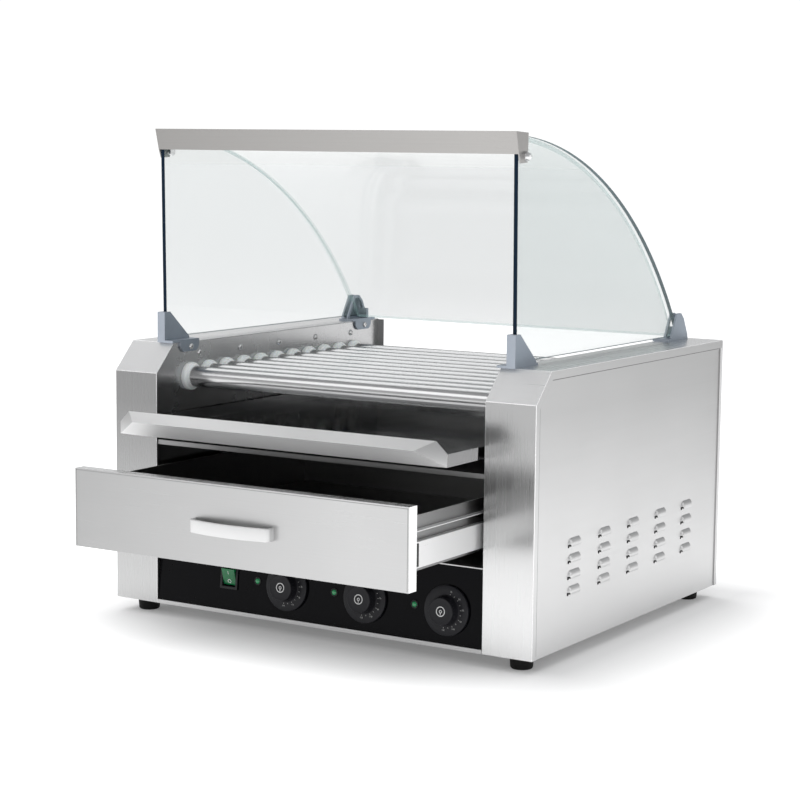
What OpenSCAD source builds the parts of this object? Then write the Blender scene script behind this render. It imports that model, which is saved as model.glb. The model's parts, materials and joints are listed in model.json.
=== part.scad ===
// Hot dog roller grill: eleven driven rollers between two end housings, a glass
// hood, a drip tray under the rollers and a heated bun drawer below it.
// Every module is drawn in housing coordinates: x = 0 midway between the end
// housings, y = 0 on the front face, +y to the back, z = 0 under the base pan.
// placed() then puts the underside of the feet on z = 0.

/* [Housing] */
// Width over the two end housings
body_width = 580; // [560:1:600]
// Depth of the housing, front face to rear panel
body_depth = 490; // [486:1:500]
// Height of the housing above the base pan
body_height = 314; // [312:1:318]
// Width of each end housing
end_width = 63; // [62:1:66]
// Depth of the sloped front shoulder
shoulder_depth = 33; // [28:1:36]
// Height of the sloped front shoulder
shoulder_height = 34; // [30:1:36]
// Thickness of the sheet steel
sheet = 1.2; // [1:0.1:1.4]
// Width of the flange that the end cover turns onto the side
flange_width = 9; // [7:0.5:11]
// Height of each rubber foot
foot_height = 16; // [12:1:20]
// Distance from the outer faces to a foot's centre
foot_inset = 28; // [24:1:32]

/* [Rollers] */
// Number of rollers
roller_count = 11; // [11:1:11]
// Distance between neighbouring roller axes
roller_pitch = 36; // [36:1:36]
// Outside diameter of a roller tube
roller_diameter = 25.4; // [25:0.1:26]
// Height of the roller axes above the base pan
roller_height = 271.4; // [270:0.1:273]
// Distance from the front face to the first roller axis
first_roller = 64; // [64:1:66]
// Radius of the seal's flange
seal_radius = 17; // [16.6:0.1:17.6]
// Running gap between a roller and its seal, on the radius
seal_gap = 0.05; // [0.02:0.01:0.09]

/* [Roller drive] */
// Pitch of the drive chain
chain_pitch = 8; // [8:1:8]
// Teeth on each sprocket
sprocket_teeth = 11; // [11:1:11]
// Chain pitches from the end rollers down to the motor sprocket
chain_side_pitches = 25; // [25:1:25]
// Distance from the inner plate to the middle of the chain
chain_offset = 12; // [11:0.5:14]

/* [Drip tray] */
// How far the tray stands out of its closed place
tray_open = 70; // [0:5:120]
// Height of the tray's underside
tray_height = 216; // [215:0.5:218]
// Half width of the tray
tray_half = 222.7; // [222:0.1:223.4]
// Length of the tray's floor
tray_length = 452; // [420:1:460]
// Height of the tray's side walls
tray_wall = 14; // [10:1:18]

/* [Bun drawer] */
// How far the drawer stands out of its closed place
drawer_open = 150; // [0:5:200]
// Half width of the drawer front
drawer_half = 225.2; // [224.6:0.1:225.6]
// Lower edge of the drawer front
drawer_bottom = 94.5; // [94.5:0.1:95]
// Upper edge of the drawer front
drawer_top = 185; // [180:1:188]
// Thickness of the drawer front
drawer_front_depth = 15; // [12:1:18]
// Half width of the drawer's box
box_half = 215; // [213:0.5:215.5]
// Length of the drawer's box
box_length = 440; // [400:5:450]

/* [Controls] */
// Lean of the control fascia, top edge backwards
fascia_tilt = 4.9; // [3:0.1:6]
// Height of the control fascia along its face
fascia_height = 87.6; // [86:0.2:88]
// Distance between neighbouring thermostat knobs
knob_pitch = 108.5; // [104:0.5:112]
// Position of the middle knob across the fascia
knob_middle = 71.5; // [68:0.5:76]
// Height of the knobs along the fascia
knob_height = 37.5; // [34:0.5:42]
// Radius of a knob's skirt
knob_skirt_radius = 28.5; // [26:0.5:30]
// Radius of a knob's grip
knob_grip_radius = 15.5; // [13:0.5:17]

/* [Glass hood] */
// Thickness of the glass
glass = 5; // [4:0.5:5]
// Outside radius of the curved glass
hood_radius = 520; // [518:1:522]
// Distance from the housing's front face back to the centre of the curve
hood_centre_y = 12.6; // [11:0.2:14]
// Height of the centre of the curve
hood_centre_z = 47; // [46:0.5:48]
// Distance from the middle plane to the outside of a side pane
pane_outer = 244.6; // [244:0.1:245]

/* [Hidden] */
$fn = 48;

// Planes of the housing
side_x = body_width / 2;
inner_x = side_x - end_width;
plate_outer_x = inner_x + sheet;
rear_y = body_depth;
shoulder_z = body_height - shoulder_height;
shoulder_angle = atan2(shoulder_height, shoulder_depth);
deck_rear_z = 276;
rear_flange = 9;

// Rest positions and the origin, midway between the handle and the cable gland
handle_reach = 17;
gland_reach = 12;
origin_y = (rear_y + gland_reach - drawer_open - handle_reach) / 2;

// Roller seats and tube sizes
roller_radius = roller_diameter / 2;
roller_bore = roller_radius - 1.7;
last_roller = first_roller + (roller_count - 1) * roller_pitch;
seal_sleeve_radius = 15;
seal_flange = 6;
seal_step = 4;
seal_outside = 3;
tube_left_x = -(inner_x + 9);
tube_right_x = inner_x + 6;
stub_radius = 5;
stub_right_x = inner_x + chain_offset + 6;

// Sprocket and chain
wrap_radius = chain_pitch * sprocket_teeth / 360 * 180 / PI;
chain_x = inner_x + chain_offset;
top_run = (roller_count - 1) * roller_pitch;
side_run = chain_side_pitches * chain_pitch;
motor_y = first_roller + top_run / 2;
motor_z = roller_height - sqrt(side_run * side_run - top_run * top_run / 4);
side_slope = acos(top_run / 2 / side_run);
end_wrap = 180 - side_slope;
loop_length = top_run + 2 * side_run + chain_pitch * sprocket_teeth;
end_wrap_length = end_wrap * PI / 180 * wrap_radius;
sprocket_thickness = 3;
tooth_tip_radius = 14.9;
pin_radius = 1.1;
tooth_gap_radius = 1.6;
link_height = 4.4;
link_thickness = 0.9;
motor_shaft_radius = 4;
motor_face_x = chain_x + 9;
motor_back_x = side_x - 2 * sheet - 4.8;
motor_radius = 29;

// Plate screws
plate_screw_first = 83.6;
plate_screw_pitch = 84;
plate_screw_z = 299;

// Louvres of the side panels
louvre_columns = 5;
louvre_rows = 4;
louvre_length = 34;
louvre_radius = 8.5;
louvre_proud = 3.2;
louvre_open = 3;
louvre_first_y = 79.5;
louvre_pitch_y = 74.3;
louvre_first_z = 116.5;
louvre_pitch_z = 18.1;

// Fascia
fascia_y = 1.6;
fascia_z = 5;
fascia_thickness = 1.5;
fascia_half = inner_x - 0.4;
lamp_offset = 43;
lamp_radius = 4.2;
lamp_height = knob_height + 1.5;
switch_x = -121;
switch_height = 40;
knob_shaft_radius = 3;
shelf_z = 92.6;

// Tray shelf, rails and the tray's nose
tray_shelf_z = 194.4;
rail_ledge = 10;
tray_front_y = -2 - tray_open;
nose_fold = [191.5, -16.7, 17.4];
nose_top = [208.9, -1.4, 27.5];
nose_foot = [194, -2, 0];
nose_wall = 1.7;

// Drawer
drawer_y = -drawer_open;
runner_bottom = 117;
runner_top = 145;
box_bottom = 112;
box_top = 171;
ledge_z = 155.5;
handle_z = (drawer_bottom + drawer_top) / 2 - 2;
handle_half = 54;
handle_height = 15;
handle_end_reach = 10;
handle_wall = 3;

// Glass hood
pane_bottom = 320;
header_screw = [44, 543.5];
clip_inner_x = pane_outer - glass - 3;
clip_outer_x = pane_outer + 3;
curved_half = clip_inner_x - 0.6;

// Colours
steel = [0.80, 0.80, 0.79];
polished = [0.86, 0.87, 0.88];
dark_steel = [0.45, 0.46, 0.48];
black = [0.05, 0.05, 0.06];
white = [0.95, 0.95, 0.93];
cast_grey = [0.58, 0.62, 0.67];
green = [0.05, 0.45, 0.20];
tint = [0.72, 0.86, 0.84, 0.35];

function roller_y(i) = first_roller + i * roller_pitch;
function knob_x(i) = knob_middle + (i - 1) * knob_pitch;

module placed() {
    translate([0, -origin_y, foot_height]) children();
}

module both_sides() {
    children();
    mirror([1, 0, 0]) children();
}

// Extrudes an outline drawn in (y, z) from x = from_x to x = to_x
module along_x(from_x, to_x) {
    translate([from_x, 0, 0]) rotate([90, 0, 90]) linear_extrude(to_x - from_x) children();
}

// Box between two opposite corners
module block(low, high) {
    translate(low) cube(high - low);
}

// Cylinder along x between two planes
module rod_x(from_x, to_x, y, z, r) {
    translate([from_x, y, z]) rotate([0, 90, 0]) cylinder(r = r, h = to_x - from_x);
}

// Puts children on the fascia: x across, y up its face, z out of it
module on_fascia(x, up, out = 0) {
    translate([0, fascia_y, fascia_z]) rotate([90 - fascia_tilt, 0, 0])
        translate([x, up, out]) children();
}

// Side outline of the housing, moved inwards by inset, as (y, z) points
function housing_edge(inset) = [
    [inset, 0],
    [inset, shoulder_z - inset * tan((90 - shoulder_angle) / 2)],
    [shoulder_depth + inset * tan(shoulder_angle / 2), body_height - inset],
    [rear_y, body_height - inset]
];

module housing_region(inset) {
    polygon(concat(housing_edge(inset), [[rear_y, 0]]));
}

// ---------------------------------------------------------------- housing
module end_cover() {
    color(steel) {
        along_x(inner_x, side_x) difference() {
            housing_region(0);
            housing_region(sheet);
            translate([0, -1]) square([rear_y + 1, shoulder_z / 2]);
        }
        along_x(inner_x, side_x) square([sheet, shoulder_z / 2 + 1]);
        along_x(side_x - sheet, side_x) difference() {
            housing_region(0);
            translate([0, -1]) intersection() {
                housing_region(flange_width);
                square([rear_y, body_height - flange_width + 1]);
            }
            translate([flange_width, -1]) square([rear_y, shoulder_z / 2]);
        }
    }
}

module louvre_void(grow) {
    half = louvre_length / 2 - louvre_radius;
    rotate([90, 0, 0]) cylinder(r = louvre_radius - grow, h = 2 * half, center = true);
    for (end = [-half, half]) translate([0, end, 0]) sphere(r = louvre_radius - grow);
}

// A pressed hood that opens downwards, on a panel whose outer face is x = 0
module louvre_hood() {
    difference() {
        intersection() {
            difference() {
                translate([louvre_proud - louvre_radius, 0, 0]) louvre_void(0);
                translate([louvre_proud - louvre_radius, 0, 0]) louvre_void(1);
            }
            block([-0.6, -louvre_length, -louvre_open], [louvre_proud + 1, louvre_length, louvre_radius + 1]);
        }
        louvre_corner();
    }
}

// Open front corner of a louvre, below its hood
module louvre_corner() {
    rod_x(-4, louvre_proud + 1, 3.4 - louvre_length / 2, 0.8 - louvre_open, 2.2);
}

module side_panel() {
    face_x = side_x - sheet;
    color(steel) {
        difference() {
            along_x(face_x - sheet, face_x) intersection() {
                housing_region(sheet);
                square([rear_y - sheet, body_height]);
            }
            at_louvres(face_x) {
                block([-4, -louvre_length / 2 + 6, -louvre_open], [1, louvre_length / 2 - 6, 4]);
                louvre_corner();
            }
        }
        at_louvres(face_x) louvre_hood();
    }
}

module at_louvres(face_x) {
    for (column = [0 : louvre_columns - 1], row = [0 : louvre_rows - 1])
        translate([
            face_x,
            louvre_first_y + louvre_length / 2 + column * louvre_pitch_y,
            louvre_first_z - row * louvre_pitch_z
        ]) children();
}

module inner_plate(sign) {
    loom_hole = sign < 0;
    color(polished) difference() {
        along_x(inner_x, plate_outer_x) difference() {
            intersection() {
                housing_region(sheet);
                translate([0, sheet]) square([rear_y - sheet, body_height]);
            }
            for (i = [0 : roller_count - 1])
                translate([roller_y(i), roller_height]) circle(r = seal_sleeve_radius);
            for (i = [0 : 4])
                translate([plate_screw_first + i * plate_screw_pitch, plate_screw_z]) circle(r = 2.1);
            if (loom_hole) translate([loom_y, loom_z]) circle(r = 7);
        }
    }
}

module base_pan() {
    floor_x = side_x - 2 * sheet;
    color(steel) difference() {
        union() {
            block([-floor_x, sheet, 0], [floor_x, rear_y - sheet, sheet]);
            block([-inner_x + 0.2, 0, 0], [inner_x - 0.2, sheet + 1, 4.6]);
            both_sides() block([floor_x - sheet, 30, 0], [floor_x, rear_y - 30, 14]);
        }
        at_feet() cylinder(r = 2.7, h = 20, center = true);
    }
}

module rear_panel() {
    panel_x = side_x - sheet;
    color(steel) difference() {
        union() {
            block([-panel_x, rear_y - sheet, 0], [panel_x, rear_y, deck_rear_z]);
            both_sides() block([side_x - sheet, rear_y - 7, 0], [side_x, rear_y, deck_rear_z]);
        }
        translate([gland_x, rear_y, gland_z]) rotate([90, 0, 0]) cylinder(r = 7, h = 9, center = true);
        for (i = [0 : 9], j = [0 : 2])
            block([-150 + i * 31, rear_y - 9, 30 + j * 14], [-130 + i * 31, rear_y + 9, 34 + j * 14]);
    }
}

// Upper ends of the rear panel, beside the open deck
module rear_posts() {
    color(steel) both_sides() {
        block([inner_x - rear_flange, rear_y - sheet, deck_rear_z], [side_x - sheet, rear_y, body_height - sheet]);
        block([side_x - sheet, rear_y - 7, deck_rear_z], [side_x, rear_y, body_height - 9.6]);
    }
}

// Shelf behind the last roller
module rear_deck() {
    color(steel)
        block([-inner_x + 0.2, last_roller + 24, deck_rear_z - sheet], [inner_x - 0.2, rear_y - sheet, deck_rear_z]);
}

module control_fascia() {
    color(black) on_fascia(0, 0, -fascia_thickness) difference() {
        translate([-fascia_half, 0, 0]) cube([2 * fascia_half, fascia_height, fascia_thickness]);
        for (i = [0 : 2]) {
            translate([knob_x(i), knob_height, -1]) cylinder(r = 5, h = 4);
            translate([knob_x(i) - lamp_offset, lamp_height, -1]) cylinder(r = lamp_radius, h = 4);
        }
        translate([switch_x - 11, switch_height - 13.5, -1]) cube([22, 27, 4]);
    }
}

module control_shelf() {
    color(steel) {
        block([-inner_x + 0.2, 8.8, shelf_z], [inner_x - 0.2, rear_y - sheet - 0.2, shelf_z + sheet]);
        block([-inner_x + 0.2, 10.6, shelf_z - 8], [inner_x - 0.2, 10.6 + sheet, shelf_z + 0.5]);
    }
}

module tray_shelf() {
    color(polished) {
        block([-inner_x + 0.2, 2, tray_shelf_z], [inner_x - 0.2, rear_y - 20, tray_shelf_z + sheet]);
        block([-inner_x + 0.2, 2, tray_shelf_z], [inner_x - 0.2, 2 + sheet, tray_shelf_z + 5.6]);
    }
}

module tray_rails() {
    color(dark_steel) both_sides() {
        block([inner_x - rail_ledge, 14, tray_height - 1.6], [inner_x, rear_y - 30, tray_height - 0.4]);
        block([inner_x - sheet, 14, tray_height - 12], [inner_x, rear_y - 30, tray_height - 0.5]);
    }
}

module drawer_rails() {
    color(dark_steel) both_sides() {
        block([inner_x - sheet, 20, runner_bottom - 5], [inner_x, rear_y - 20, runner_top + 5]);
        for (z = [runner_bottom - 1.8, runner_top + 0.6])
            block([inner_x - rail_ledge, 20, z], [inner_x - sheet / 2, rear_y - 20, z + sheet]);
    }
}

module at_feet() {
    for (x = [-1, 1], y = [foot_inset, rear_y - foot_inset])
        translate([x * (side_x - foot_inset), y, 0]) children();
}

module feet() {
    color(black) at_feet() rotate_extrude() polygon([
        [2.7, 0], [2.7, -8], [6, -8], [6, -foot_height], [11.2, -foot_height],
        [12.6, -foot_height + 1.4], [14, 0]
    ]);
}

module foot_screws() {
    color(dark_steel) at_feet() {
        translate([0, 0, -8]) cylinder(r = 2.5, h = 14);
        translate([0, 0, -11]) cylinder(r = 4.6, h = 3);
        translate([0, 0, sheet]) cylinder(r = 4.6, h = 3.4, $fn = 6);
    }
}

// ---------------------------------------------------------------- rollers
module roller_seal() {
    bore = roller_radius + seal_gap;
    rotate([0, 90, 0]) rotate_extrude() polygon([
        [bore, -seal_flange - seal_step], [bore, sheet + seal_outside],
        [seal_sleeve_radius, sheet + seal_outside], [seal_sleeve_radius, 0],
        [seal_radius, 0], [seal_radius, -seal_flange],
        [seal_sleeve_radius - 0.4, -seal_flange], [seal_sleeve_radius - 0.9, -seal_flange - seal_step]
    ]);
}

module roller_seals() {
    color(white) for (i = [0 : roller_count - 1])
        translate([inner_x, roller_y(i), roller_height]) roller_seal();
}

// Sprocket along x, its gaps starting at gap_angle from straight up, turning towards +y
module sprocket(gap_angle, bore) {
    half = sprocket_thickness / 2;
    along_x(-half, half) difference() {
        circle(r = tooth_tip_radius);
        circle(r = bore);
        for (i = [0 : sprocket_teeth - 1]) rotate(-gap_angle - i * 360 / sprocket_teeth) {
            translate([0, wrap_radius]) circle(r = tooth_gap_radius);
            translate([-tooth_gap_radius, wrap_radius]) square([2 * tooth_gap_radius, 4]);
        }
    }
}

// One roller: the tube with its closed drive end and stub, and the sprocket on it
module roller(i) {
    phase = (i * roller_pitch / chain_pitch) % 1;
    y = roller_y(i);
    color(polished) {
        difference() {
            rod_x(tube_left_x, tube_right_x, y, roller_height, roller_radius);
            rod_x(tube_left_x - 1, tube_right_x - 4, y, roller_height, roller_bore);
        }
        rod_x(tube_right_x - 1, stub_right_x, y, roller_height, stub_radius);
    }
    color(dark_steel) translate([chain_x, y, roller_height])
        sprocket(-phase * 360 / sprocket_teeth, stub_radius);
}

module roller_heaters() {
    for (i = [0 : roller_count - 1]) {
        color(dark_steel) rod_x(-inner_x - 26, inner_x - 8, roller_y(i), roller_height, 4);
        color(white) rod_x(-inner_x - 34, -inner_x - 26, roller_y(i), roller_height, 5.5);
    }
}

module heater_rail() {
    rail_x = -inner_x - 24;
    color(steel) {
        along_x(rail_x, rail_x + sheet) difference() {
            translate([first_roller - 20, roller_height - 14]) square([top_run + 40, 28]);
            for (i = [0 : roller_count - 1]) translate([roller_y(i), roller_height]) circle(r = 4);
        }
        for (y = [first_roller - 20, last_roller + 12])
            block([rail_x + sheet - 0.2, y, roller_height - 14], [-plate_outer_x, y + 8, roller_height - 11]);
    }
}

// ---------------------------------------------------------------- roller drive
// Angle, from straight up, of the motor sprocket's first gap
motor_first_pin = chain_pitch - ((top_run + end_wrap_length + side_run) % chain_pitch);
motor_gap_angle = 180 - side_slope + motor_first_pin / wrap_radius * 180 / PI;

module motor_sprocket() {
    color(dark_steel) translate([chain_x, motor_y, motor_z])
        sprocket(motor_gap_angle, motor_shaft_radius);
    color(polished) rod_x(chain_x - 4, motor_face_x + 12, motor_y, motor_z, motor_shaft_radius);
}

module gear_motor() {
    color(dark_steel) difference() {
        union() {
            rod_x(motor_face_x + 2, motor_back_x, motor_y, motor_z, motor_radius);
            block([motor_face_x + 2, motor_y - 20, motor_z - 44], [motor_back_x - 8, motor_y + 20, motor_z]);
        }
        rod_x(motor_face_x, motor_face_x + 13, motor_y, motor_z, motor_shaft_radius + 0.05);
    }
}

module at_standoffs() {
    for (p = [[-36, -34], [36, -34], [0, 40]])
        translate([0, motor_y + p[0], motor_z + p[1]]) children();
}

module motor_bracket() {
    color(steel) {
        along_x(motor_face_x, motor_face_x + 2) difference() {
            translate([motor_y, motor_z]) polygon([[-44, -50], [44, -50], [44, 0], [10, 48], [-10, 48], [-44, 0]]);
            translate([motor_y, motor_z]) circle(r = 8);
        }
        at_standoffs() rod_x(plate_outer_x, motor_face_x, 0, 0, 4);
    }
}

// Point of the chain loop at distance s from the top of the first sprocket:
// [y, z, turned angle]. The loop is a top run, an end wrap, a side, the motor
// wrap, a side and an end wrap.
function on_circle(y, z, turned) = [y + wrap_radius * sin(turned), z + wrap_radius * cos(turned), turned];
function along_run(start, length) = [
    start[0] + length * cos(start[2]), start[1] - length * sin(start[2]), start[2]
];
function turned_by(length) = length / wrap_radius * 180 / PI;
motor_wrap = 2 * side_slope;
motor_wrap_length = motor_wrap * PI / 180 * wrap_radius;
run_ends = [
    top_run,
    top_run + end_wrap_length,
    top_run + end_wrap_length + side_run,
    top_run + end_wrap_length + side_run + motor_wrap_length,
    top_run + end_wrap_length + 2 * side_run + motor_wrap_length
];
function chain_point(s) =
    s < run_ends[0] ? along_run(on_circle(first_roller, roller_height, 0), s)
    : s < run_ends[1] ? on_circle(last_roller, roller_height, turned_by(s - run_ends[0]))
    : s < run_ends[2] ? along_run(on_circle(last_roller, roller_height, end_wrap), s - run_ends[1])
    : s < run_ends[3] ? on_circle(motor_y, motor_z, end_wrap + turned_by(s - run_ends[2]))
    : s < run_ends[4] ? along_run(on_circle(motor_y, motor_z, end_wrap + motor_wrap), s - run_ends[3])
    : on_circle(first_roller, roller_height, end_wrap + motor_wrap + turned_by(s - run_ends[4]));

// Loop outline at distance d outside the pitch line: an arc round each sprocket,
// joined by straight runs
function wrap_points(y, z, start, turn, r) = [
    for (i = [0 : 12]) let (a = start + turn * i / 12) [y + r * sin(a), z + r * cos(a)]
];
function loop_outline(d) = let (r = wrap_radius + d) concat(
    wrap_points(last_roller, roller_height, 0, end_wrap, r),
    wrap_points(motor_y, motor_z, end_wrap, motor_wrap, r),
    wrap_points(first_roller, roller_height, end_wrap + motor_wrap, end_wrap, r)
);

module drive_chain() {
    band_gap = sprocket_thickness / 2 + 0.6;
    color(dark_steel) {
        for (side = [-band_gap - link_thickness, band_gap])
            along_x(chain_x + side, chain_x + side + link_thickness) difference() {
                polygon(loop_outline(link_height / 2));
                polygon(loop_outline(-link_height / 2));
            }
        for (k = [0 : loop_length / chain_pitch - 1]) {
            p = chain_point(k * chain_pitch);
            rod_x(chain_x - band_gap + 0.05, chain_x + band_gap - 0.05, p[0], p[1], pin_radius);
        }
    }
}

// ---------------------------------------------------------------- electrics
loom_y = 60;
loom_z = 40;
gland_x = -inner_x - 31;
gland_z = 46;
cord_radius = 4;

module warmer_element() {
    element_z = shelf_z + sheet + 9;
    color(dark_steel) {
        for (x = [-120, -40, 40, 120])
            translate([x, 60, element_z]) rotate([-90, 0, 0]) cylinder(r = 3.2, h = 340);
        for (x = [-80, 80]) translate([x, 400, element_z]) half_bend(40, 3.2);
        translate([0, 60, element_z]) mirror([0, 1, 0]) half_bend(40, 3.2);
        for (x = [-120, -40, 40, 120], y = [100, 360])
            block([x - 5, y, shelf_z + sheet], [x + 5, y + 10, element_z - 2.6]);
    }
}

// Half ring in the xy plane on the +y side
module half_bend(bend, r) {
    intersection() {
        rotate_extrude() translate([bend, 0]) circle(r = r);
        translate([-2 * bend, 0, -r - 1]) cube([4 * bend, 2 * bend, 2 * r + 2]);
    }
}

module thermostats() {
    color(dark_steel) for (i = [0 : 2]) on_fascia(knob_x(i), knob_height, -fascia_thickness) difference() {
        union() {
            translate([-19, -16, -22]) cube([38, 32, 18]);
            translate([0, 0, -5]) cylinder(r = 9, h = 5);
        }
        translate([0, 0, -14]) cylinder(r = knob_shaft_radius + 0.05, h = 20);
    }
}

module indicator_lamps() {
    color(green) for (i = [0 : 2]) on_fascia(knob_x(i) - lamp_offset, lamp_height, 0) {
        translate([0, 0, -20]) cylinder(r = lamp_radius, h = 21);
        translate([0, 0, 0.9]) intersection() {
            cylinder(r = 3.4, h = 3);
            translate([0, 0, -2.6]) sphere(r = 4.3);
        }
    }
}

// Pivot of the rocker, behind the face of the fascia
rocker_pivot_out = -3;
module rocker_rod(r) {
    rotate([0, 90, 0]) cylinder(r = r, h = 20, center = true);
}

module switch_housing() {
    color(black) on_fascia(switch_x, switch_height, 0) difference() {
        union() {
            translate([-12.5, -15.5, 0]) cube([25, 31, 2]);
            translate([-11, -13.5, -24]) cube([22, 27, 25]);
        }
        translate([-9.5, -12.2, -13]) cube([19, 24.4, 20]);
    }
    color(black) on_fascia(switch_x, switch_height, rocker_pivot_out) rocker_rod(1.2);
}

// Rocker: two sloping halves that meet over the pivot, lower half pressed in
module power_rocker() {
    color(green) on_fascia(switch_x, switch_height, rocker_pivot_out) rotate([10, 0, 0]) difference() {
        translate([-9.2, 0, 0]) rotate([90, 0, 90]) linear_extrude(18.4)
            polygon([[-10.2, 3.4], [0, 5.4], [10.2, 7.2], [10.2, 1], [2.5, -5], [-2.5, -5], [-10.2, -1]]);
        rocker_rod(1.5);
    }
}

module terminal_block() {
    color(white) difference() {
        block([gland_x - 11, rear_y - 110, sheet], [gland_x + 11, rear_y - 60, sheet + 20]);
        for (x = [gland_x - 6, gland_x + 6], i = [0 : 3])
            translate([x, rear_y - 103 + i * 12, sheet + 8]) cylinder(r = 3, h = 20);
    }
}

// Loom from the terminal block through the inner plate to the thermostats
loom_points = [
    [-258, 380, 10], [-258, 60, 10], [-258, 60, 40], [120, 60, 40]
];

module wiring_loom() {
    r = 4;
    color(black) {
        translate([loom_points[0][0], loom_points[1][1], loom_points[0][2]])
            rotate([-90, 0, 0]) cylinder(r = r, h = loom_points[0][1] - loom_points[1][1]);
        translate(loom_points[1]) sphere(r = r);
        translate(loom_points[1]) cylinder(r = r, h = loom_points[2][2] - loom_points[1][2]);
        translate(loom_points[2]) sphere(r = r);
        rod_x(loom_points[2][0], loom_points[3][0], loom_y, loom_z, r);
    }
}

module cable_gland() {
    color(black) translate([gland_x, rear_y, gland_z]) rotate([-90, 0, 0]) difference() {
        union() {
            cylinder(r = 12, h = 4, $fn = 6);
            translate([0, 0, 3]) cylinder(r = 8.5, h = gland_reach - 3);
            translate([0, 0, -8]) cylinder(r = 7, h = 9);
            translate([0, 0, -sheet - 4]) cylinder(r = 11, h = 4, $fn = 6);
        }
        translate([0, 0, -20]) cylinder(r = cord_radius, h = 60);
    }
}

// ---------------------------------------------------------------- glass hood
module hood_disc(r) {
    translate([hood_centre_y, hood_centre_z]) circle(r = r, $fn = 360);
}

module side_glass() {
    color(tint) along_x(pane_outer - glass, pane_outer) difference() {
        intersection() {
            hood_disc(hood_radius);
            polygon([[36, pane_bottom], [31.2, 600], [600, 600], [600, pane_bottom]]);
        }
        translate(header_screw) circle(r = 3.6);
    }
}

module curved_glass() {
    color(tint) along_x(-curved_half, curved_half) intersection() {
        difference() {
            hood_disc(hood_radius);
            hood_disc(hood_radius - glass);
        }
        translate([40, pane_bottom - 1.5]) square([500, 400]);
    }
}

module glass_header() {
    end_x = pane_outer + 1.4;
    color(steel) {
        along_x(-end_x, end_x) polygon([
            [30.4, 546], [24, 570.6], [51.4, 569.2], [51.6, 566.4], [50.4, 566.4], [50.2, 568],
            [25.6, 569.2], [31.6, 546.2]
        ]);
        both_sides() along_x(end_x - 0.6, end_x + 0.6) difference() {
            polygon([[30.4, 546], [24, 570.6], [51.4, 569.2], [50.4, 537], [34, 536]]);
            translate(header_screw) circle(r = 3.1);
        }
    }
}

module header_bolts() {
    head_x = pane_outer + 2;
    color(polished) both_sides() {
        rod_x(pane_outer - glass - 4, head_x, header_screw[0], header_screw[1], 3);
        rod_x(head_x, head_x + 3, header_screw[0], header_screw[1], 5.6, $fn = 6);
        intersection() {
            translate([head_x + 3, header_screw[0], header_screw[1]]) sphere(r = 4.6);
            rod_x(head_x + 3, head_x + 9, header_screw[0], header_screw[1], 4.6);
        }
        rod_x(pane_outer - glass - 4, pane_outer - glass - 0.8, header_screw[0], header_screw[1], 5.2, $fn = 6);
    }
}

// A foot that holds a pane: a post with a gusset, a base on the housing and a
// tab that hangs over the inner plate. Drawn for the front, slot towards +y.
// Side profiles from the deck up: a straight post at the front, a leaning one at the rear
front_clip = [[28, 0], [28, 37], [39, 37], [76, 5], [76, 0]];
rear_clip = [[426, 0], [428, 6], [444, 34], [455, 34], [463, 27], [475, 6], [475, 0]];
front_clip_screws = [64];
clip_base = 2.8;
rear_clip_screws = [450];

module clip_profile(profile) {
    translate([0, body_height]) polygon(profile);
}

module clip_body(profile, base_y, tab_y, screws) {
    base_z = body_height;
    tab_x = inner_x - 2.6;
    difference() {
        union() {
            along_x(clip_inner_x, clip_outer_x) clip_profile(profile);
            block([tab_x, base_y[0], base_z], [clip_outer_x, base_y[1], base_z + clip_base]);
            along_x(tab_x, inner_x - 0.2) polygon([
                [tab_y[0], base_z + clip_base], [tab_y[0], base_z - 5], [tab_y[0] + 2, base_z - 9],
                [tab_y[0] + 6, base_z - 12], [tab_y[1] - 6, base_z - 12], [tab_y[1] - 2, base_z - 9],
                [tab_y[1], base_z - 5], [tab_y[1], base_z + clip_base]
            ]);
        }
        children();
        for (y = screws) rod_x(tab_x - 1, inner_x, y, base_z - 6, 2.1);
    }
}

module pane_slot(from_y, to_y) {
    block([pane_outer - glass - 0.3, from_y, pane_bottom - 0.6], [pane_outer + 0.3, to_y, 400]);
}

module glass_clips() {
    color(cast_grey) both_sides() {
        clip_body(front_clip, [28, 80], [44, 80], front_clip_screws) pane_slot(34.6, 100);
        clip_body(rear_clip, [422, 476], [428, 466], rear_clip_screws) {
            pane_slot(400, 458);
            along_x(clip_inner_x - 1, pane_outer - glass) offset(delta = -3.4) clip_profile(rear_clip);
        }
        difference() {
            block([inner_x - 1, 457, body_height + 3], [clip_inner_x + 1, 462, body_height + 16]);
            hood_shadow();
        }
    }
}

// Room for the curved glass beside the rear clip
module hood_shadow() {
    along_x(inner_x - 5, clip_inner_x) hood_disc(hood_radius + 0.4);
}

// Pan heads on the inner plates and on the clips' tabs
module plate_screws() {
    color(polished) both_sides() for (i = [0 : 4]) {
        y = plate_screw_first + i * plate_screw_pitch;
        rod_x(inner_x - 2.2, inner_x, y, plate_screw_z, 4);
        rod_x(inner_x, inner_x + 6, y, plate_screw_z, 2);
    }
    color(polished) both_sides() for (y = concat(front_clip_screws, rear_clip_screws))
        rod_x(inner_x - 4.4, inner_x - 2.6, y, body_height - 6, 3.6);
}

// ---------------------------------------------------------------- drip tray
// Corners of the folded nose on both sides, moved back by shift: the outer lower
// corner, the top of the side wall, the top edge, the fold and the inner lower corner
nose_corners = [[tray_half, 0, 0], [tray_half, 0, tray_wall], nose_top, nose_fold, nose_foot];
function nose_points(shift) = [
    for (side = [-1, 1], p = nose_corners)
        [side * p[0], tray_front_y + p[1] + shift, tray_height + p[2]]
];
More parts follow.
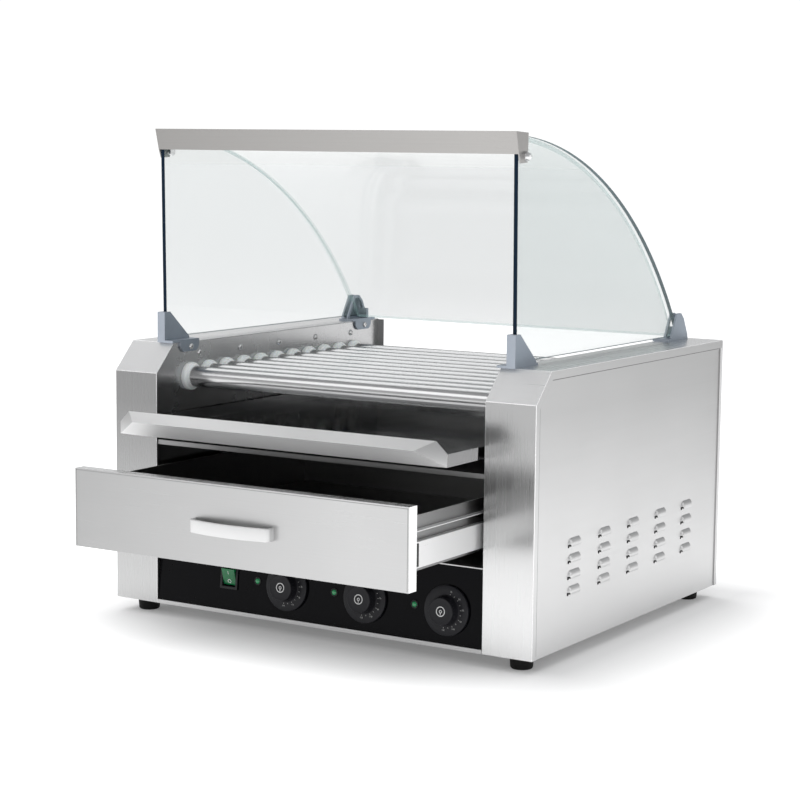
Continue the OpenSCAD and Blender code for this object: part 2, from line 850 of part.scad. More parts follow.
// Faces seen from the front, with the left corners at 0 to 4 and the right at 5 to 9
nose_faces = [
    [4, 3, 8, 9], [3, 2, 7, 8], [0, 1, 3], [1, 2, 3], [0, 3, 4], [6, 5, 8], [7, 6, 8], [8, 5, 9]
];
nose_rim = [0, 4, 9, 5, 6, 7, 2, 1];

module tray_nose() {
    back = len(nose_corners) * 2;
    rim = len(nose_rim);
    polyhedron(
        points = concat(nose_points(0), nose_points(nose_wall)),
        faces = concat(
            nose_faces,
            [for (face = nose_faces) [for (i = [len(face) - 1 : -1 : 0]) face[i] + back]],
            [for (i = [0 : rim - 1]) let (a = nose_rim[i], b = nose_rim[(i + 1) % rim]) [a, b, b + back, a + back]]
        )
    );
}

module drip_tray() {
    low = [-tray_half, tray_front_y + 0.6, tray_height];
    high = [tray_half, tray_front_y + tray_length, tray_height + tray_wall];
    color(polished) {
        tray_nose();
        difference() {
            block(low, high);
            block(low + [sheet, -1, sheet], high - [sheet, sheet, -1]);
        }
    }
}

// ---------------------------------------------------------------- bun drawer
module drawer_front() {
    low = [-drawer_half, drawer_y, drawer_bottom];
    high = [drawer_half, drawer_y + drawer_front_depth, drawer_top];
    color(steel) difference() {
        block(low, high);
        block(low + [sheet, sheet, sheet], high - [sheet, -1, sheet]);
        for (side = [-1, 1]) translate([side * (handle_half - 6), drawer_y, handle_z])
            rotate([90, 0, 0]) cylinder(r = 2.1, h = 9, center = true);
    }
}

module drawer_box() {
    box_y = drawer_y + sheet + 1.6;
    back_y = box_y + box_length;
    color(steel) {
        difference() {
            block([-box_half, box_y, box_bottom], [box_half, back_y, box_top]);
            block([-box_half + sheet, box_y + sheet, box_bottom + sheet],
                  [box_half - sheet, back_y - sheet, box_top + 1]);
        }
        both_sides()
            block([box_half - 0.5, drawer_y + drawer_front_depth + 1, ledge_z], [box_half + 7, back_y, ledge_z + sheet]);
    }
}

module drawer_runners() {
    low = [box_half, drawer_y + drawer_front_depth + 2, runner_bottom];
    high = [box_half + 7, drawer_y + box_length, runner_top];
    color(polished) both_sides() difference() {
        block(low, high);
        block(low + [-1, -1, sheet], high - [sheet, -1, sheet]);
    }
}

// Bow pull: a flat strap on two short legs, its front bowed outwards
module drawer_handle() {
    bow = handle_reach - handle_end_reach;
    bow_radius = (handle_half * handle_half + bow * bow) / (2 * bow);
    translate([0, drawer_y, handle_z - handle_height / 2]) color(white) linear_extrude(handle_height) {
        intersection() {
            translate([0, bow_radius - handle_reach]) difference() {
                circle(r = bow_radius, $fn = 180);
                circle(r = bow_radius - handle_wall, $fn = 180);
            }
            translate([-handle_half, -handle_reach - 1]) square([2 * handle_half, 14]);
        }
        for (side = [-1, 1]) translate([side * (handle_half - 1.5) - 1.5, -handle_end_reach]) square([3, handle_end_reach]);
        for (side = [-1, 1]) translate([side * (handle_half - 5) - 5, -3]) square([10, 3]);
    }
}

module handle_screws() {
    color(dark_steel) for (side = [-1, 1]) translate([side * (handle_half - 6), drawer_y, handle_z]) {
        rotate([-90, 0, 0]) cylinder(r = 2, h = sheet);
        translate([0, sheet, 0]) rotate([-90, 0, 0]) cylinder(r = 4, h = 1.5);
    }
}

// ---------------------------------------------------------------- knobs
module knob(i) {
    on_fascia(knob_x(i), knob_height, 0) {
        color(black) {
            translate([0, 0, 0.8]) cylinder(r1 = knob_skirt_radius, r2 = knob_skirt_radius - 1.2, h = 3.4);
            translate([0, 0, 4]) cylinder(r1 = knob_grip_radius + 1.2, r2 = knob_grip_radius, h = 13);
        }
        color(dark_steel) translate([0, 0, -13]) cylinder(r = knob_shaft_radius, h = 14);
    }
}

placed() base_pan();
placed() mirror([1, 0, 0]) end_cover();  // left_end_cover
placed() end_cover();  // right_end_cover
placed() mirror([1, 0, 0]) side_panel();  // left_side_panel
placed() side_panel();  // right_side_panel
placed() mirror([1, 0, 0]) inner_plate(-1);  // left_inner_plate
placed() inner_plate(1);  // right_inner_plate
placed() rear_panel();
placed() rear_posts();
placed() rear_deck();
placed() control_fascia();
placed() control_shelf();
placed() tray_shelf();
placed() tray_rails();
placed() drawer_rails();
placed() mirror([1, 0, 0]) roller_seals();  // left_roller_seals
placed() roller_seals();  // right_roller_seals
placed() roller_heaters();
placed() heater_rail();
placed() gear_motor();
placed() motor_bracket();
placed() motor_sprocket();
placed() drive_chain();
placed() warmer_element();
placed() thermostats();
placed() indicator_lamps();
placed() switch_housing();
placed() power_rocker();
placed() terminal_block();
placed() wiring_loom();
placed() cable_gland();
placed() feet();
placed() foot_screws();
placed() mirror([1, 0, 0]) side_glass();  // left_side_glass
placed() side_glass();  // right_side_glass
placed() curved_glass();
placed() glass_header();
placed() header_bolts();
placed() glass_clips();
placed() plate_screws();
placed() drip_tray();
placed() drawer_box();
placed() drawer_front();
placed() drawer_handle();
placed() drawer_runners();
placed() handle_screws();
placed() knob(0);  // knob_front
placed() knob(1);  // knob_back
placed() knob(2);  // knob_warm
placed() roller(0);  // roller_01
placed() roller(1);  // roller_02
placed() roller(2);  // roller_03
placed() roller(3);  // roller_04
placed() roller(4);  // roller_05
placed() roller(5);  // roller_06
placed() roller(6);  // roller_07
placed() roller(7);  // roller_08
placed() roller(8);  // roller_09
placed() roller(9);  // roller_10
placed() roller(10);  // roller_11
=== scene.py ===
# Hot dog roller grill: looks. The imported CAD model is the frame; sizes are in metres.
import json
import math
import bmesh
import bpy
from mathutils import Matrix, Vector


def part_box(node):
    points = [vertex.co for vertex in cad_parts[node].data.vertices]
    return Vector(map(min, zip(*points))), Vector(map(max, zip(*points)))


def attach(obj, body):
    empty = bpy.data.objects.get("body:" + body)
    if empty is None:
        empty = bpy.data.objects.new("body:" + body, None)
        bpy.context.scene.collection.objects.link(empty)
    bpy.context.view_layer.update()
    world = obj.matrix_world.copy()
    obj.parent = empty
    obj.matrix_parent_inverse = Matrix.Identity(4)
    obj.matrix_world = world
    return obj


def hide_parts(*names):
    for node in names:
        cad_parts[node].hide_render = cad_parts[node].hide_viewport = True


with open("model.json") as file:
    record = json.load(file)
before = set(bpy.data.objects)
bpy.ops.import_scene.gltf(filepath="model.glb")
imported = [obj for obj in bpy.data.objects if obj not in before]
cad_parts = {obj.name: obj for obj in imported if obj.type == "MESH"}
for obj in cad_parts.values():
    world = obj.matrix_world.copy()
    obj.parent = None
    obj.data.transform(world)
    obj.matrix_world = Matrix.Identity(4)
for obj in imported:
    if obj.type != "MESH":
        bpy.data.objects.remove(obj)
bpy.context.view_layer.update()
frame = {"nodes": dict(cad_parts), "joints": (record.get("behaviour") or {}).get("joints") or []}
nodes = frame["nodes"]
joints = {joint["name"]: joint for joint in frame["joints"]}

MM = 0.001
UP = Vector((0, 0, 1))

# ---------------------------------------------------------------- materials


def new_material(name, colour, roughness, metallic=0.0, **sockets):
    """A Principled material; sockets are further inputs of the shader by name."""
    material = bpy.data.materials.new(name)
    material.use_nodes = True
    shader = material.node_tree.nodes["Principled BSDF"]
    shader.inputs["Base Color"].default_value = (*colour, 1)
    shader.inputs["Roughness"].default_value = roughness
    shader.inputs["Metallic"].default_value = metallic
    for socket, value in sockets.items():
        shader.inputs[socket.replace("_", " ")].default_value = value
    return material


def noise(material, scale, detail=4.0, stretch=(1, 1, 1), roughness=0.6):
    """A noise texture in object space, scale in cells per metre; returns its output."""
    tree = material.node_tree
    coordinates = tree.nodes.new("ShaderNodeTexCoord")
    mapping = tree.nodes.new("ShaderNodeMapping")
    mapping.inputs["Scale"].default_value = stretch
    texture = tree.nodes.new("ShaderNodeTexNoise")
    texture.inputs["Scale"].default_value = scale
    texture.inputs["Detail"].default_value = detail
    texture.inputs["Roughness"].default_value = roughness
    tree.links.new(coordinates.outputs["Object"], mapping.inputs["Vector"])
    tree.links.new(mapping.outputs["Vector"], texture.inputs["Vector"])
    return texture.outputs["Fac"]


def ranged(material, value, low, high, source=(0.3, 0.7)):
    """Maps a noise output from the source range to low..high."""
    node = material.node_tree.nodes.new("ShaderNodeMapRange")
    node.inputs["From Min"].default_value = source[0]
    node.inputs["From Max"].default_value = source[1]
    node.inputs["To Min"].default_value = low
    node.inputs["To Max"].default_value = high
    material.node_tree.links.new(value, node.inputs["Value"])
    return node.outputs["Result"]


def blended_colour(material, value, dark, light):
    """Base colour that goes from dark to light with a value of 0..1."""
    tree = material.node_tree
    mix = tree.nodes.new("ShaderNodeMix")
    mix.data_type = "RGBA"
    mix.inputs["A"].default_value = (*dark, 1)
    mix.inputs["B"].default_value = (*light, 1)
    tree.links.new(value, mix.inputs["Factor"])
    tree.links.new(mix.outputs["Result"], tree.nodes["Principled BSDF"].inputs["Base Color"])


def drive_roughness(material, value):
    """Lets a texture value set the roughness."""
    tree = material.node_tree
    tree.links.new(value, tree.nodes["Principled BSDF"].inputs["Roughness"])


def add_bump(material, value, strength, distance):
    """Lets a texture value raise and lower the surface; distance is in metres."""
    tree = material.node_tree
    bump = tree.nodes.new("ShaderNodeBump")
    bump.inputs["Strength"].default_value = strength
    bump.inputs["Distance"].default_value = distance
    tree.links.new(value, bump.inputs["Height"])
    tree.links.new(bump.outputs["Normal"], tree.nodes["Principled BSDF"].inputs["Normal"])


def added(material, first, second, weight):
    """first + weight * second, for mixing two noises."""
    node = material.node_tree.nodes.new("ShaderNodeMath")
    node.operation = "MULTIPLY_ADD"
    node.inputs[1].default_value = weight
    material.node_tree.links.new(second, node.inputs[0])
    material.node_tree.links.new(first, node.inputs[2])
    return node.outputs["Value"]


def streaked(along, share):
    """Noise scale that is stretched out along the named axes."""
    return [share if axis in along else 1.0 for axis in "xyz"]


def brushed(name, tone, roughness, along, warmth=0.0, grain=0.10, metallic=1.0):
    """Brushed stainless steel, its fine scratches running along the given axes."""
    stretch = streaked(along, 0.006)
    light = (tone + warmth, tone, tone - warmth)
    dark = tuple(channel * (1 - grain) for channel in light)
    material = new_material(name, light, roughness, metallic)
    scratches = noise(material, 1300, 3.0, stretch)
    clouds = noise(material, 7, 3.0)
    both = added(material, scratches, clouds, 0.6)
    blended_colour(material, ranged(material, both, 0, 1, (0.5, 1.1)), dark, light)
    drive_roughness(material, ranged(material, both, roughness - 0.07, roughness + 0.09, (0.5, 1.1)))
    add_bump(material, scratches, 0.05, 0.00008)
    return material


def painted_light_and_shade_along(material, axis, start, end, first, last):
    """Paints light and shade into the base colour: multiplies it by a tone that runs from first to last
    along an axis.
    """
    tree = material.node_tree
    shader = tree.nodes["Principled BSDF"]
    coordinates = tree.nodes.new("ShaderNodeTexCoord")
    split = tree.nodes.new("ShaderNodeSeparateXYZ")
    tree.links.new(coordinates.outputs["Object"], split.inputs["Vector"])
    tone = ranged(material, split.outputs[axis.upper()], first, last, (start, end))
    scale = tree.nodes.new("ShaderNodeVectorMath")
    scale.operation = "SCALE"
    colour = shader.inputs["Base Color"].links[0].from_socket
    tree.links.new(colour, scale.inputs["Vector"])
    tree.links.new(tone, scale.inputs["Scale"])
    tree.links.new(scale.outputs["Vector"], shader.inputs["Base Color"])


def polished(name, tone, roughness, along):
    """Bright steel with faint polishing lines and soft smears."""
    stretch = streaked(along, 0.02)
    light = (tone, tone, tone * 1.005)
    material = new_material(name, light, roughness, metallic=1.0)
    lines = noise(material, 1200, 2.0, stretch)
    smears = noise(material, 14, 4.0)
    blended_colour(material, ranged(material, smears, 0, 1), tuple(c * 0.93 for c in light), light)
    drive_roughness(material, ranged(material, smears, roughness - 0.03, roughness + 0.07))
    add_bump(material, lines, 0.02, 0.00004)
    return material


def moulded(name, colour, roughness, fleck, bump, **sockets):
    """Plastic, rubber or cast metal with a fine surface grain."""
    material = new_material(name, colour, roughness, **sockets)
    grain = noise(material, 1600, 3.0)
    clouds = noise(material, 30, 3.0)
    light = tuple(min(1, c * (1 + fleck)) for c in colour)
    dark = tuple(c * (1 - fleck) for c in colour)
    blended_colour(material, ranged(material, clouds, 0, 1), dark, light)
    drive_roughness(material, ranged(material, grain, roughness - 0.05, roughness + 0.07))
    add_bump(material, grain, bump, 0.0001)
    return material


def glass_material(name, colour, opacity, roughness, gloss=1.0, shine=0.5):
    """Clear pane: a thin tint that lets the light through, with its own gloss."""
    material = new_material(name, colour, roughness, Alpha=opacity, Coat_Weight=gloss,
                            Specular_IOR_Level=shine)
    haze = noise(material, 5, 3.0)
    dark = tuple(c * 0.95 for c in colour)
    blended_colour(material, ranged(material, haze, 0, 1), dark, colour)
    drive_roughness(material, ranged(material, haze, roughness, roughness + 0.03))
    return material


# Painted light and shade: the left upright is a darker and the right a lighter copy of one brushed steel,
# both painted lighter low down and darker higher up.
steel_upright_left = brushed("steel_upright_left", 0.45, 0.24, "z", metallic=0.85)
steel_upright_right = brushed("steel_upright_right", 0.68, 0.22, "z", metallic=0.85)
for upright_steel in (steel_upright_left, steel_upright_right):
    painted_light_and_shade_along(upright_steel, "z", 0.02, 0.26, 1.22, 0.60)
# Painted light: lighter copies of the steel for the end covers' shoulders and tops, and for the drawer
# front's sides and top.
steel_shoulder = brushed("steel_shoulder", 0.86, 0.32, "x", metallic=0.6, grain=0.03)
steel_top = brushed("steel_top", 0.92, 0.28, "y", grain=0.03)
# Painted light and shade: the side steel is painted lighter towards the bottom and darker towards the
# rear.
steel_side = brushed("steel_side", 0.56, 0.36, "y", grain=0.05)
painted_light_and_shade_along(steel_side, "z", 0.04, 0.28, 1.32, 0.84)
painted_light_and_shade_along(steel_side, "y", -0.30, 0.33, 1.02, 0.80)
steel_front = brushed("steel_front", 0.56, 0.34, "x", grain=0.05)
# Painted shade: the drawer front is painted darker towards its left end.
steel_drawer = brushed("steel_drawer", 0.52, 0.32, "x", grain=0.07)
painted_light_and_shade_along(steel_drawer, "x", -0.22, 0.16, 0.78, 1.06)
# Painted shade: the header is painted darker towards its left end.
steel_header = brushed("steel_header", 0.40, 0.32, "x", warmth=0.010, grain=0.10)
painted_light_and_shade_along(steel_header, "x", -0.24, 0.20, 0.72, 1.0)
# Painted shade: a dark copy of the steel for the rails and bracket inside the housing and the drawer box's
# inside.
steel_inside_shaded = brushed("steel_inside_shaded", 0.30, 0.35, "y")
# Steel of the drawer's runners, which the drawer box's outer sides and rim also take as painted light.
steel_runner = brushed("steel_runner", 0.80, 0.32, "y", metallic=0.5, grain=0.03)
# Painted highlight: a light steel on the rounded folds of the end covers, the drip tray and the drawer
# front.
steel_fold_highlight = brushed("steel_fold_highlight", 0.92, 0.24, "x", metallic=0.5, grain=0.02)
# Painted shade: a dark copy of the steel for the tray shelf.
steel_ledge = brushed("steel_ledge", 0.34, 0.40, "x", metallic=0.6, grain=0.05)
steel_mill = brushed("steel_mill", 0.35, 0.42, "x")
steel_plate = polished("steel_plate", 0.54, 0.24, "y")
steel_tray = polished("steel_tray", 0.62, 0.09, "x")
steel_nose = brushed("steel_nose", 0.56, 0.36, "x", metallic=0.8, grain=0.04)
# Painted light: a lighter copy of the steel for the downward facets of the tray's nose.
steel_underside = brushed("steel_underside", 0.85, 0.42, "x", metallic=0.35, grain=0.04)
steel_roller = polished("steel_roller", 0.58, 0.17, "yz")
steel_screw = polished("steel_screw", 0.78, 0.18, "z")
# Dark steel of the chain and sprockets, also used as painted shade on the end covers' seam folds and the
# drawer front's crease strips.
steel_chain_and_crease_shade = brushed("steel_chain_and_crease_shade", 0.28, 0.38, "y")
handle_metal = brushed("handle_metal", 0.72, 0.36, "x", metallic=0.55, grain=0.02)
cast_metal = moulded("cast_metal", (0.40, 0.44, 0.50), 0.40, 0.06, 0.16, metallic=0.6)
# Painted shade: a darker copy of the cast metal for the clips' sideways faces.
cast_flank_shade = moulded("cast_flank_shade", (0.26, 0.30, 0.35), 0.42, 0.06, 0.16, metallic=0.6)
ptfe = moulded("ptfe", (0.97, 0.97, 0.96), 0.34, 0.01, 0.06, Subsurface_Weight=0.1)
ceramic = moulded("ceramic", (0.80, 0.78, 0.72), 0.55, 0.04, 0.15)
fascia_gloss = moulded("fascia_gloss", (0.002, 0.002, 0.003), 0.12, 0.2, 0.01, Specular_IOR_Level=0.06)
black_plastic = moulded("black_plastic", (0.010, 0.010, 0.011), 0.38, 0.15, 0.12, Specular_IOR_Level=0.3)
knob_plastic = moulded("knob_plastic", (0.012, 0.012, 0.015), 0.34, 0.12, 0.10, Specular_IOR_Level=0.22)
# Painted shade: the dark strips along the side panels' seams.
seam_shade_paint = moulded("seam_shade_paint", (0.03, 0.03, 0.03), 0.6, 0.1, 0.1)
rubber = moulded("rubber", (0.006, 0.006, 0.006), 0.62, 0.2, 0.3, Specular_IOR_Level=0.2)
green_plastic = moulded("green_plastic", (0.004, 0.16, 0.05), 0.22, 0.15, 0.02, Coat_Weight=0.5)
green_lens = moulded("green_lens", (0.01, 0.30, 0.10), 0.12, 0.15, 0.02, Coat_Weight=0.8)
print_white = moulded("print_white", (0.80, 0.80, 0.80), 0.5, 0.03, 0.05)
print_dim = moulded("print_dim", (0.42, 0.42, 0.41), 0.5, 0.05, 0.05)
pane_clear = glass_material("pane_clear", (0.42, 0.52, 0.51), 0.18, 0.02, 0.6)
pane_edge = glass_material("pane_edge", (0.001, 0.012, 0.030), 1.0, 0.3, 0.0, shine=0.12)
pane_rim = glass_material("pane_rim", (0.001, 0.045, 0.070), 0.95, 0.3, 0.0, shine=0.15)
pane_pale = glass_material("pane_pale", (0.38, 0.60, 0.58), 0.42, 0.1, 0.1)

# ---------------------------------------------------------------- mesh helpers


def smooth_shaded(mesh, angle=35):
    """Smooth shading, with edges sharper than the angle kept sharp."""
    mesh.polygons.foreach_set("use_smooth", [True] * len(mesh.polygons))
    mesh.set_sharp_from_angle(angle=math.radians(angle))


def object_from(name, work, materials, smooth=35):
    """Turns a bmesh into a linked object."""
    mesh = bpy.data.meshes.new(name)
    bmesh.ops.recalc_face_normals(work, faces=work.faces)
    work.to_mesh(mesh)
    work.free()
    for material in materials:
        mesh.materials.append(material)
    smooth_shaded(mesh, smooth)
    made = bpy.data.objects.new(name, mesh)
    bpy.context.scene.collection.objects.link(made)
    return made


def placed_piece(made, body, slot, *replaced):
    """Puts a finished piece on its body and hides the CAD nodes it stands for; slot is not used."""
    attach(made, body)
    if replaced:
        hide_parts(*replaced)
    return made


def lathe(work, profile, frame_matrix, steps=48, closed=False):
    """Spins (out, radius) points about the frame's z axis."""
    rings = []
    for out, radius in profile:
        if radius < 1e-7:
            rings.append([work.verts.new(frame_matrix @ Vector((0, 0, out)))])
            continue
        ring = []
        for i in range(steps):
            angle = 2 * math.pi * i / steps
            ring.append(work.verts.new(
                frame_matrix @ Vector((radius * math.cos(angle), radius * math.sin(angle), out))))
        rings.append(ring)
    pairs = list(zip(rings, rings[1:]))
    if closed:
        pairs.append((rings[-1], rings[0]))
    for low, high in pairs:
        for i in range(steps):
            j = (i + 1) % steps
            if len(low) == 1 and len(high) == 1:
                continue
            if len(low) == 1:
                work.faces.new((low[0], high[i], high[j]))
            elif len(high) == 1:
                work.faces.new((low[i], low[j], high[0]))
            else:
                work.faces.new((low[i], low[j], high[j], high[i]))


def rounded(profile_corner, radius, before, after, steps=4):
    """Arc points that round one corner of a profile between two neighbouring points."""
    corner, before, after = Vector(profile_corner), Vector(before), Vector(after)
    start = corner + (before - corner).normalized() * radius
    end = corner + (after - corner).normalized() * radius
    points = []
    for i in range(steps + 1):
        t = i / steps
        points.append(tuple(start * (1 - t) ** 2 + corner * 2 * t * (1 - t) + end * t ** 2))
    return points


def rounded_profile(points, radii, steps=4, closed=False):
    """Profile with every corner rounded by its own radius; zero keeps a corner sharp."""
    out = []
    last = len(points) - 1
    for i, (point, radius) in enumerate(zip(points, radii)):
        if radius <= 0 or (not closed and i in (0, last)):
            out.append(tuple(point))
            continue
        out += rounded(point, radius, points[i - 1], points[(i + 1) % len(points)], steps)
    return out


def prism(work, outline, frame_matrix, low, high, material=0):
    """Closed prism of a plane outline between two heights of the frame's z axis."""
    bottom = [work.verts.new(frame_matrix @ Vector((x, y, low))) for x, y in outline]
    top = [work.verts.new(frame_matrix @ Vector((x, y, high))) for x, y in outline]
    faces = [work.faces.new(list(reversed(bottom))), work.faces.new(top)]
    for i in range(len(outline)):
        j = (i + 1) % len(outline)
        faces.append(work.faces.new((bottom[i], bottom[j], top[j], top[i])))
    for face in faces:
        face.material_index = material


def facing(direction, position):
    """Frame whose z axis points along direction from position."""
    return Matrix.Translation(position) @ direction.to_track_quat("Z", "Y").to_matrix().to_4x4()


def flat_shading(made):
    """Keeps large faces flat between their rounded edges."""
    normals = made.modifiers.new("normals", "WEIGHTED_NORMAL")
    normals.keep_sharp = True
    normals.weight = 100


def dress(node, material, edge=0.0, segments=2, angle=32, fold=None):
    """Gives a CAD node its material, smooth shading and softened edges, to which fold can give a painted
    highlight.
    """
    made = nodes[node]
    made.data.materials.clear()
    made.data.materials.append(material)
    if fold:
        made.data.materials.append(fold)
    smooth_shaded(made.data, angle)
    if edge:
        weld = made.modifiers.new("weld", "WELD")
        weld.merge_threshold = 0.00001
        bevel = made.modifiers.new("edges", "BEVEL")
        bevel.width = edge
        bevel.segments = segments
        bevel.limit_method = "ANGLE"
        bevel.angle_limit = math.radians(angle)
        bevel.harden_normals = False
        bevel.material = 1 if fold else -1
        flat_shading(made)
    return made


def copy_of(node, materials, body, slot, edge=0.0, segments=2, angle=32, fold=-1):
    """A new piece with a CAD node's shape, welded and with its edges rounded.

    fold is the index of the material that the rounded edges take, -1 for their own face's.
    """
    work = bmesh.new()
    work.from_mesh(nodes[node].data)
    bmesh.ops.remove_doubles(work, verts=work.verts, dist=0.000005)
    bmesh.ops.dissolve_limit(work, angle_limit=math.radians(0.5), verts=work.verts, edges=work.edges)
    if edge:
        sharp = [e for e in work.edges if e.is_manifold and e.calc_face_angle(0) > math.radians(angle)]
        bmesh.ops.bevel(work, geom=sharp, offset=edge, segments=segments, profile=0.5,
                        affect="EDGES", clamp_overlap=True, material=fold)
    made = object_from(node + "_shape", work, materials)
    flat_shading(made)
    return placed_piece(made, body, slot, node)


# ---------------------------------------------------------------- housing

PLAIN_SHEETS = ["base_pan", "rear_panel", "rear_posts", "rear_deck", "control_shelf"]
SHOULDER_DEPTH = 33 * MM
SHOULDER_HEIGHT = 34 * MM
FLANGE_WIDTH = 9 * MM
SEAM_INSET = 6 * MM
SHOULDER_MARGIN = 1.25
UPRIGHT, SHOULDER, FLANK, TOP, FOLD_HIGHLIGHT, SEAM_SHADE = range(6)


def dress_end_cover(node):
    """Upright faces are brushed upwards, the rest across. The outer folds carry a painted highlight and
    the seam's fold painted shade; tops and shoulders take lighter steel as painted light, the left and
    right uprights a darker and a lighter copy.
    """
    upright_steel = steel_upright_left if node.startswith("left") else steel_upright_right
    finishes = [upright_steel, steel_shoulder, steel_side, steel_top, steel_fold_highlight, steel_chain_and_crease_shade]
    made = copy_of(node, finishes, "root", "brushed_steel", 0.7 * MM, 3, fold=FOLD_HIGHLIGHT)
    low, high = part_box(node)
    for face in made.data.polygons:
        inwards, down = face.center.y - low.y, high.z - face.center.z
        if face.material_index == FOLD_HIGHLIGHT:
            past_shoulder = inwards / SHOULDER_DEPTH + down / SHOULDER_HEIGHT > SHOULDER_MARGIN
            if min(inwards, down) > SEAM_INSET and past_shoulder:
                face.material_index = SEAM_SHADE
        elif face.normal.z > 0.9:
            face.material_index = TOP
        elif abs(face.normal.x) > 0.7:
            face.material_index = FLANK
        elif face.normal.z > 0.3:
            face.material_index = SHOULDER
        else:
            face.material_index = UPRIGHT


def dress_housing():
    """Finishes of the fixed parts that keep their CAD shape, and the two end covers."""
    for node in ("left_end_cover", "right_end_cover"):
        dress_end_cover(node)
    for node in PLAIN_SHEETS:
        dress(node, steel_front)
    for node in ("left_side_panel", "right_side_panel"):
        dress(node, steel_side, angle=28)
    for node in ("left_inner_plate", "right_inner_plate"):
        dress(node, steel_plate, angle=50)
    dress("tray_shelf", steel_ledge, 0.2 * MM)
    dress("control_fascia", fascia_gloss, 0.25 * MM)
    # Painted shade: these inner parts take the dark steel.
    for node in ("tray_rails", "drawer_rails", "heater_rail", "motor_bracket"):
        dress(node, steel_inside_shaded)
    for node in ("gear_motor", "thermostats"):
        dress(node, steel_mill, 0.2 * MM)
    for node in ("foot_screws", "handle_screws", "warmer_element", "roller_heaters"):
        dress(node, steel_mill)
    for node in ("drive_chain", "motor_sprocket"):
        dress(node, steel_chain_and_crease_shade)
    dress("terminal_block", ceramic, 0.3 * MM)
    dress("wiring_loom", black_plastic)
    dress("cable_gland", black_plastic, 0.3 * MM)
    dress("switch_housing", black_plastic, 0.5 * MM)


# ---------------------------------------------------------------- rollers

ROLLER_COUNT = 11
TUBE_RADIUS = 12.7 * MM
TUBE_WALL = 1.7 * MM
STUB_LENGTH = 12 * MM
STUB_RADIUS = 5 * MM
PLUG_LENGTH = 4 * MM
SPROCKET_MIDDLE = 6 * MM
SPROCKET_HALF = 1.5 * MM
SPROCKET_TIP = 14.9 * MM
SPROCKET_ROOT = 12.4 * MM
SPROCKET_TEETH = 11
ALONG_X = Matrix.Rotation(math.pi / 2, 4, "Y")


def sprocket_outline(phase):
    """Teeth as short straight flanks, the first gap at the phase angle from straight up."""
    points = []
    pitch = 2 * math.pi / SPROCKET_TEETH
    shape = [(-0.16, SPROCKET_ROOT), (0.16, SPROCKET_ROOT), (0.27, SPROCKET_TIP), (0.73, SPROCKET_TIP)]
    for tooth in range(SPROCKET_TEETH):
        for share, radius in shape:
            angle = math.pi + phase + (tooth + share) * pitch
            points.append((radius * math.cos(angle), radius * math.sin(angle)))
    return points


def roller_piece(number):
    """Polished tube with a recessed heater end on the left, a stub and a sprocket on the right."""
    name = f"roller_{number:02d}"
    axis = Vector(joints[name + "_spin"]["pos_m"])
    low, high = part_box(name)
    work = bmesh.new()
    here = Matrix.Translation((0, axis.y, axis.z)) @ ALONG_X
    right = high.x - STUB_LENGTH
    inner = TUBE_RADIUS - TUBE_WALL
    chamfer = 0.5 * MM
    mouth = low.x + 3 * MM
    lathe(work, [
        (mouth, inner), (low.x, inner), (low.x, TUBE_RADIUS - chamfer),
        (low.x + chamfer, TUBE_RADIUS), (0, TUBE_RADIUS), (right - chamfer, TUBE_RADIUS),
        (right, TUBE_RADIUS - chamfer), (right, STUB_RADIUS), (high.x - chamfer, STUB_RADIUS),
        (high.x, STUB_RADIUS - chamfer), (high.x, 0),
    ], here, steps=72)
    lathe(work, [(mouth, inner), (right - PLUG_LENGTH, inner), (right - PLUG_LENGTH, 0)], here, steps=72)
    bmesh.ops.remove_doubles(work, verts=work.verts, dist=0.000001)
    phase = (number - 1) % 2 * math.pi / SPROCKET_TEETH
    middle = high.x - SPROCKET_MIDDLE
    prism(work, sprocket_outline(phase), here, middle - SPROCKET_HALF, middle + SPROCKET_HALF, 1)
    made = object_from(name + "_tube", work, [steel_roller, steel_chain_and_crease_shade])
    placed_piece(made, name, "polished_steel", name)


SEAL_RADIUS = 17 * MM
SEAL_FLANGE = 6 * MM
SEAL_STEP = 4 * MM
SEAL_BORE = 12.75 * MM
SEAL_SLEEVE = 15 * MM


def seal_rings(side, node):
    """White flanged bushes on one inner plate; side is -1 on the left and 1 on the right."""
    low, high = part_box(node)
    reach = SEAL_FLANGE + SEAL_STEP
    tip = high.x if side < 0 else low.x
    length = high.x - low.x
    profile = rounded_profile([
        (0, SEAL_BORE), (0, SEAL_SLEEVE - 0.9 * MM), (SEAL_STEP, SEAL_SLEEVE - 0.4 * MM),
        (SEAL_STEP, SEAL_RADIUS), (reach, SEAL_RADIUS), (reach, SEAL_SLEEVE), (length, SEAL_SLEEVE),
        (length, SEAL_BORE),
    ], [0.4 * MM, 1.2 * MM, 0.6 * MM, 1.6 * MM, 0.8 * MM, 0, 0.4 * MM, 0.3 * MM], closed=True)
    work = bmesh.new()
    for number in range(1, ROLLER_COUNT + 1):
        axis = Vector(joints[f"roller_{number:02d}_spin"]["pos_m"])
        here = facing(Vector((side, 0, 0)), Vector((tip, axis.y, axis.z)))
        lathe(work, profile, here, steps=56, closed=True)
    placed_piece(object_from(node + "_rings", work, [ptfe]), "root", "ptfe", node)


# ---------------------------------------------------------------- screws

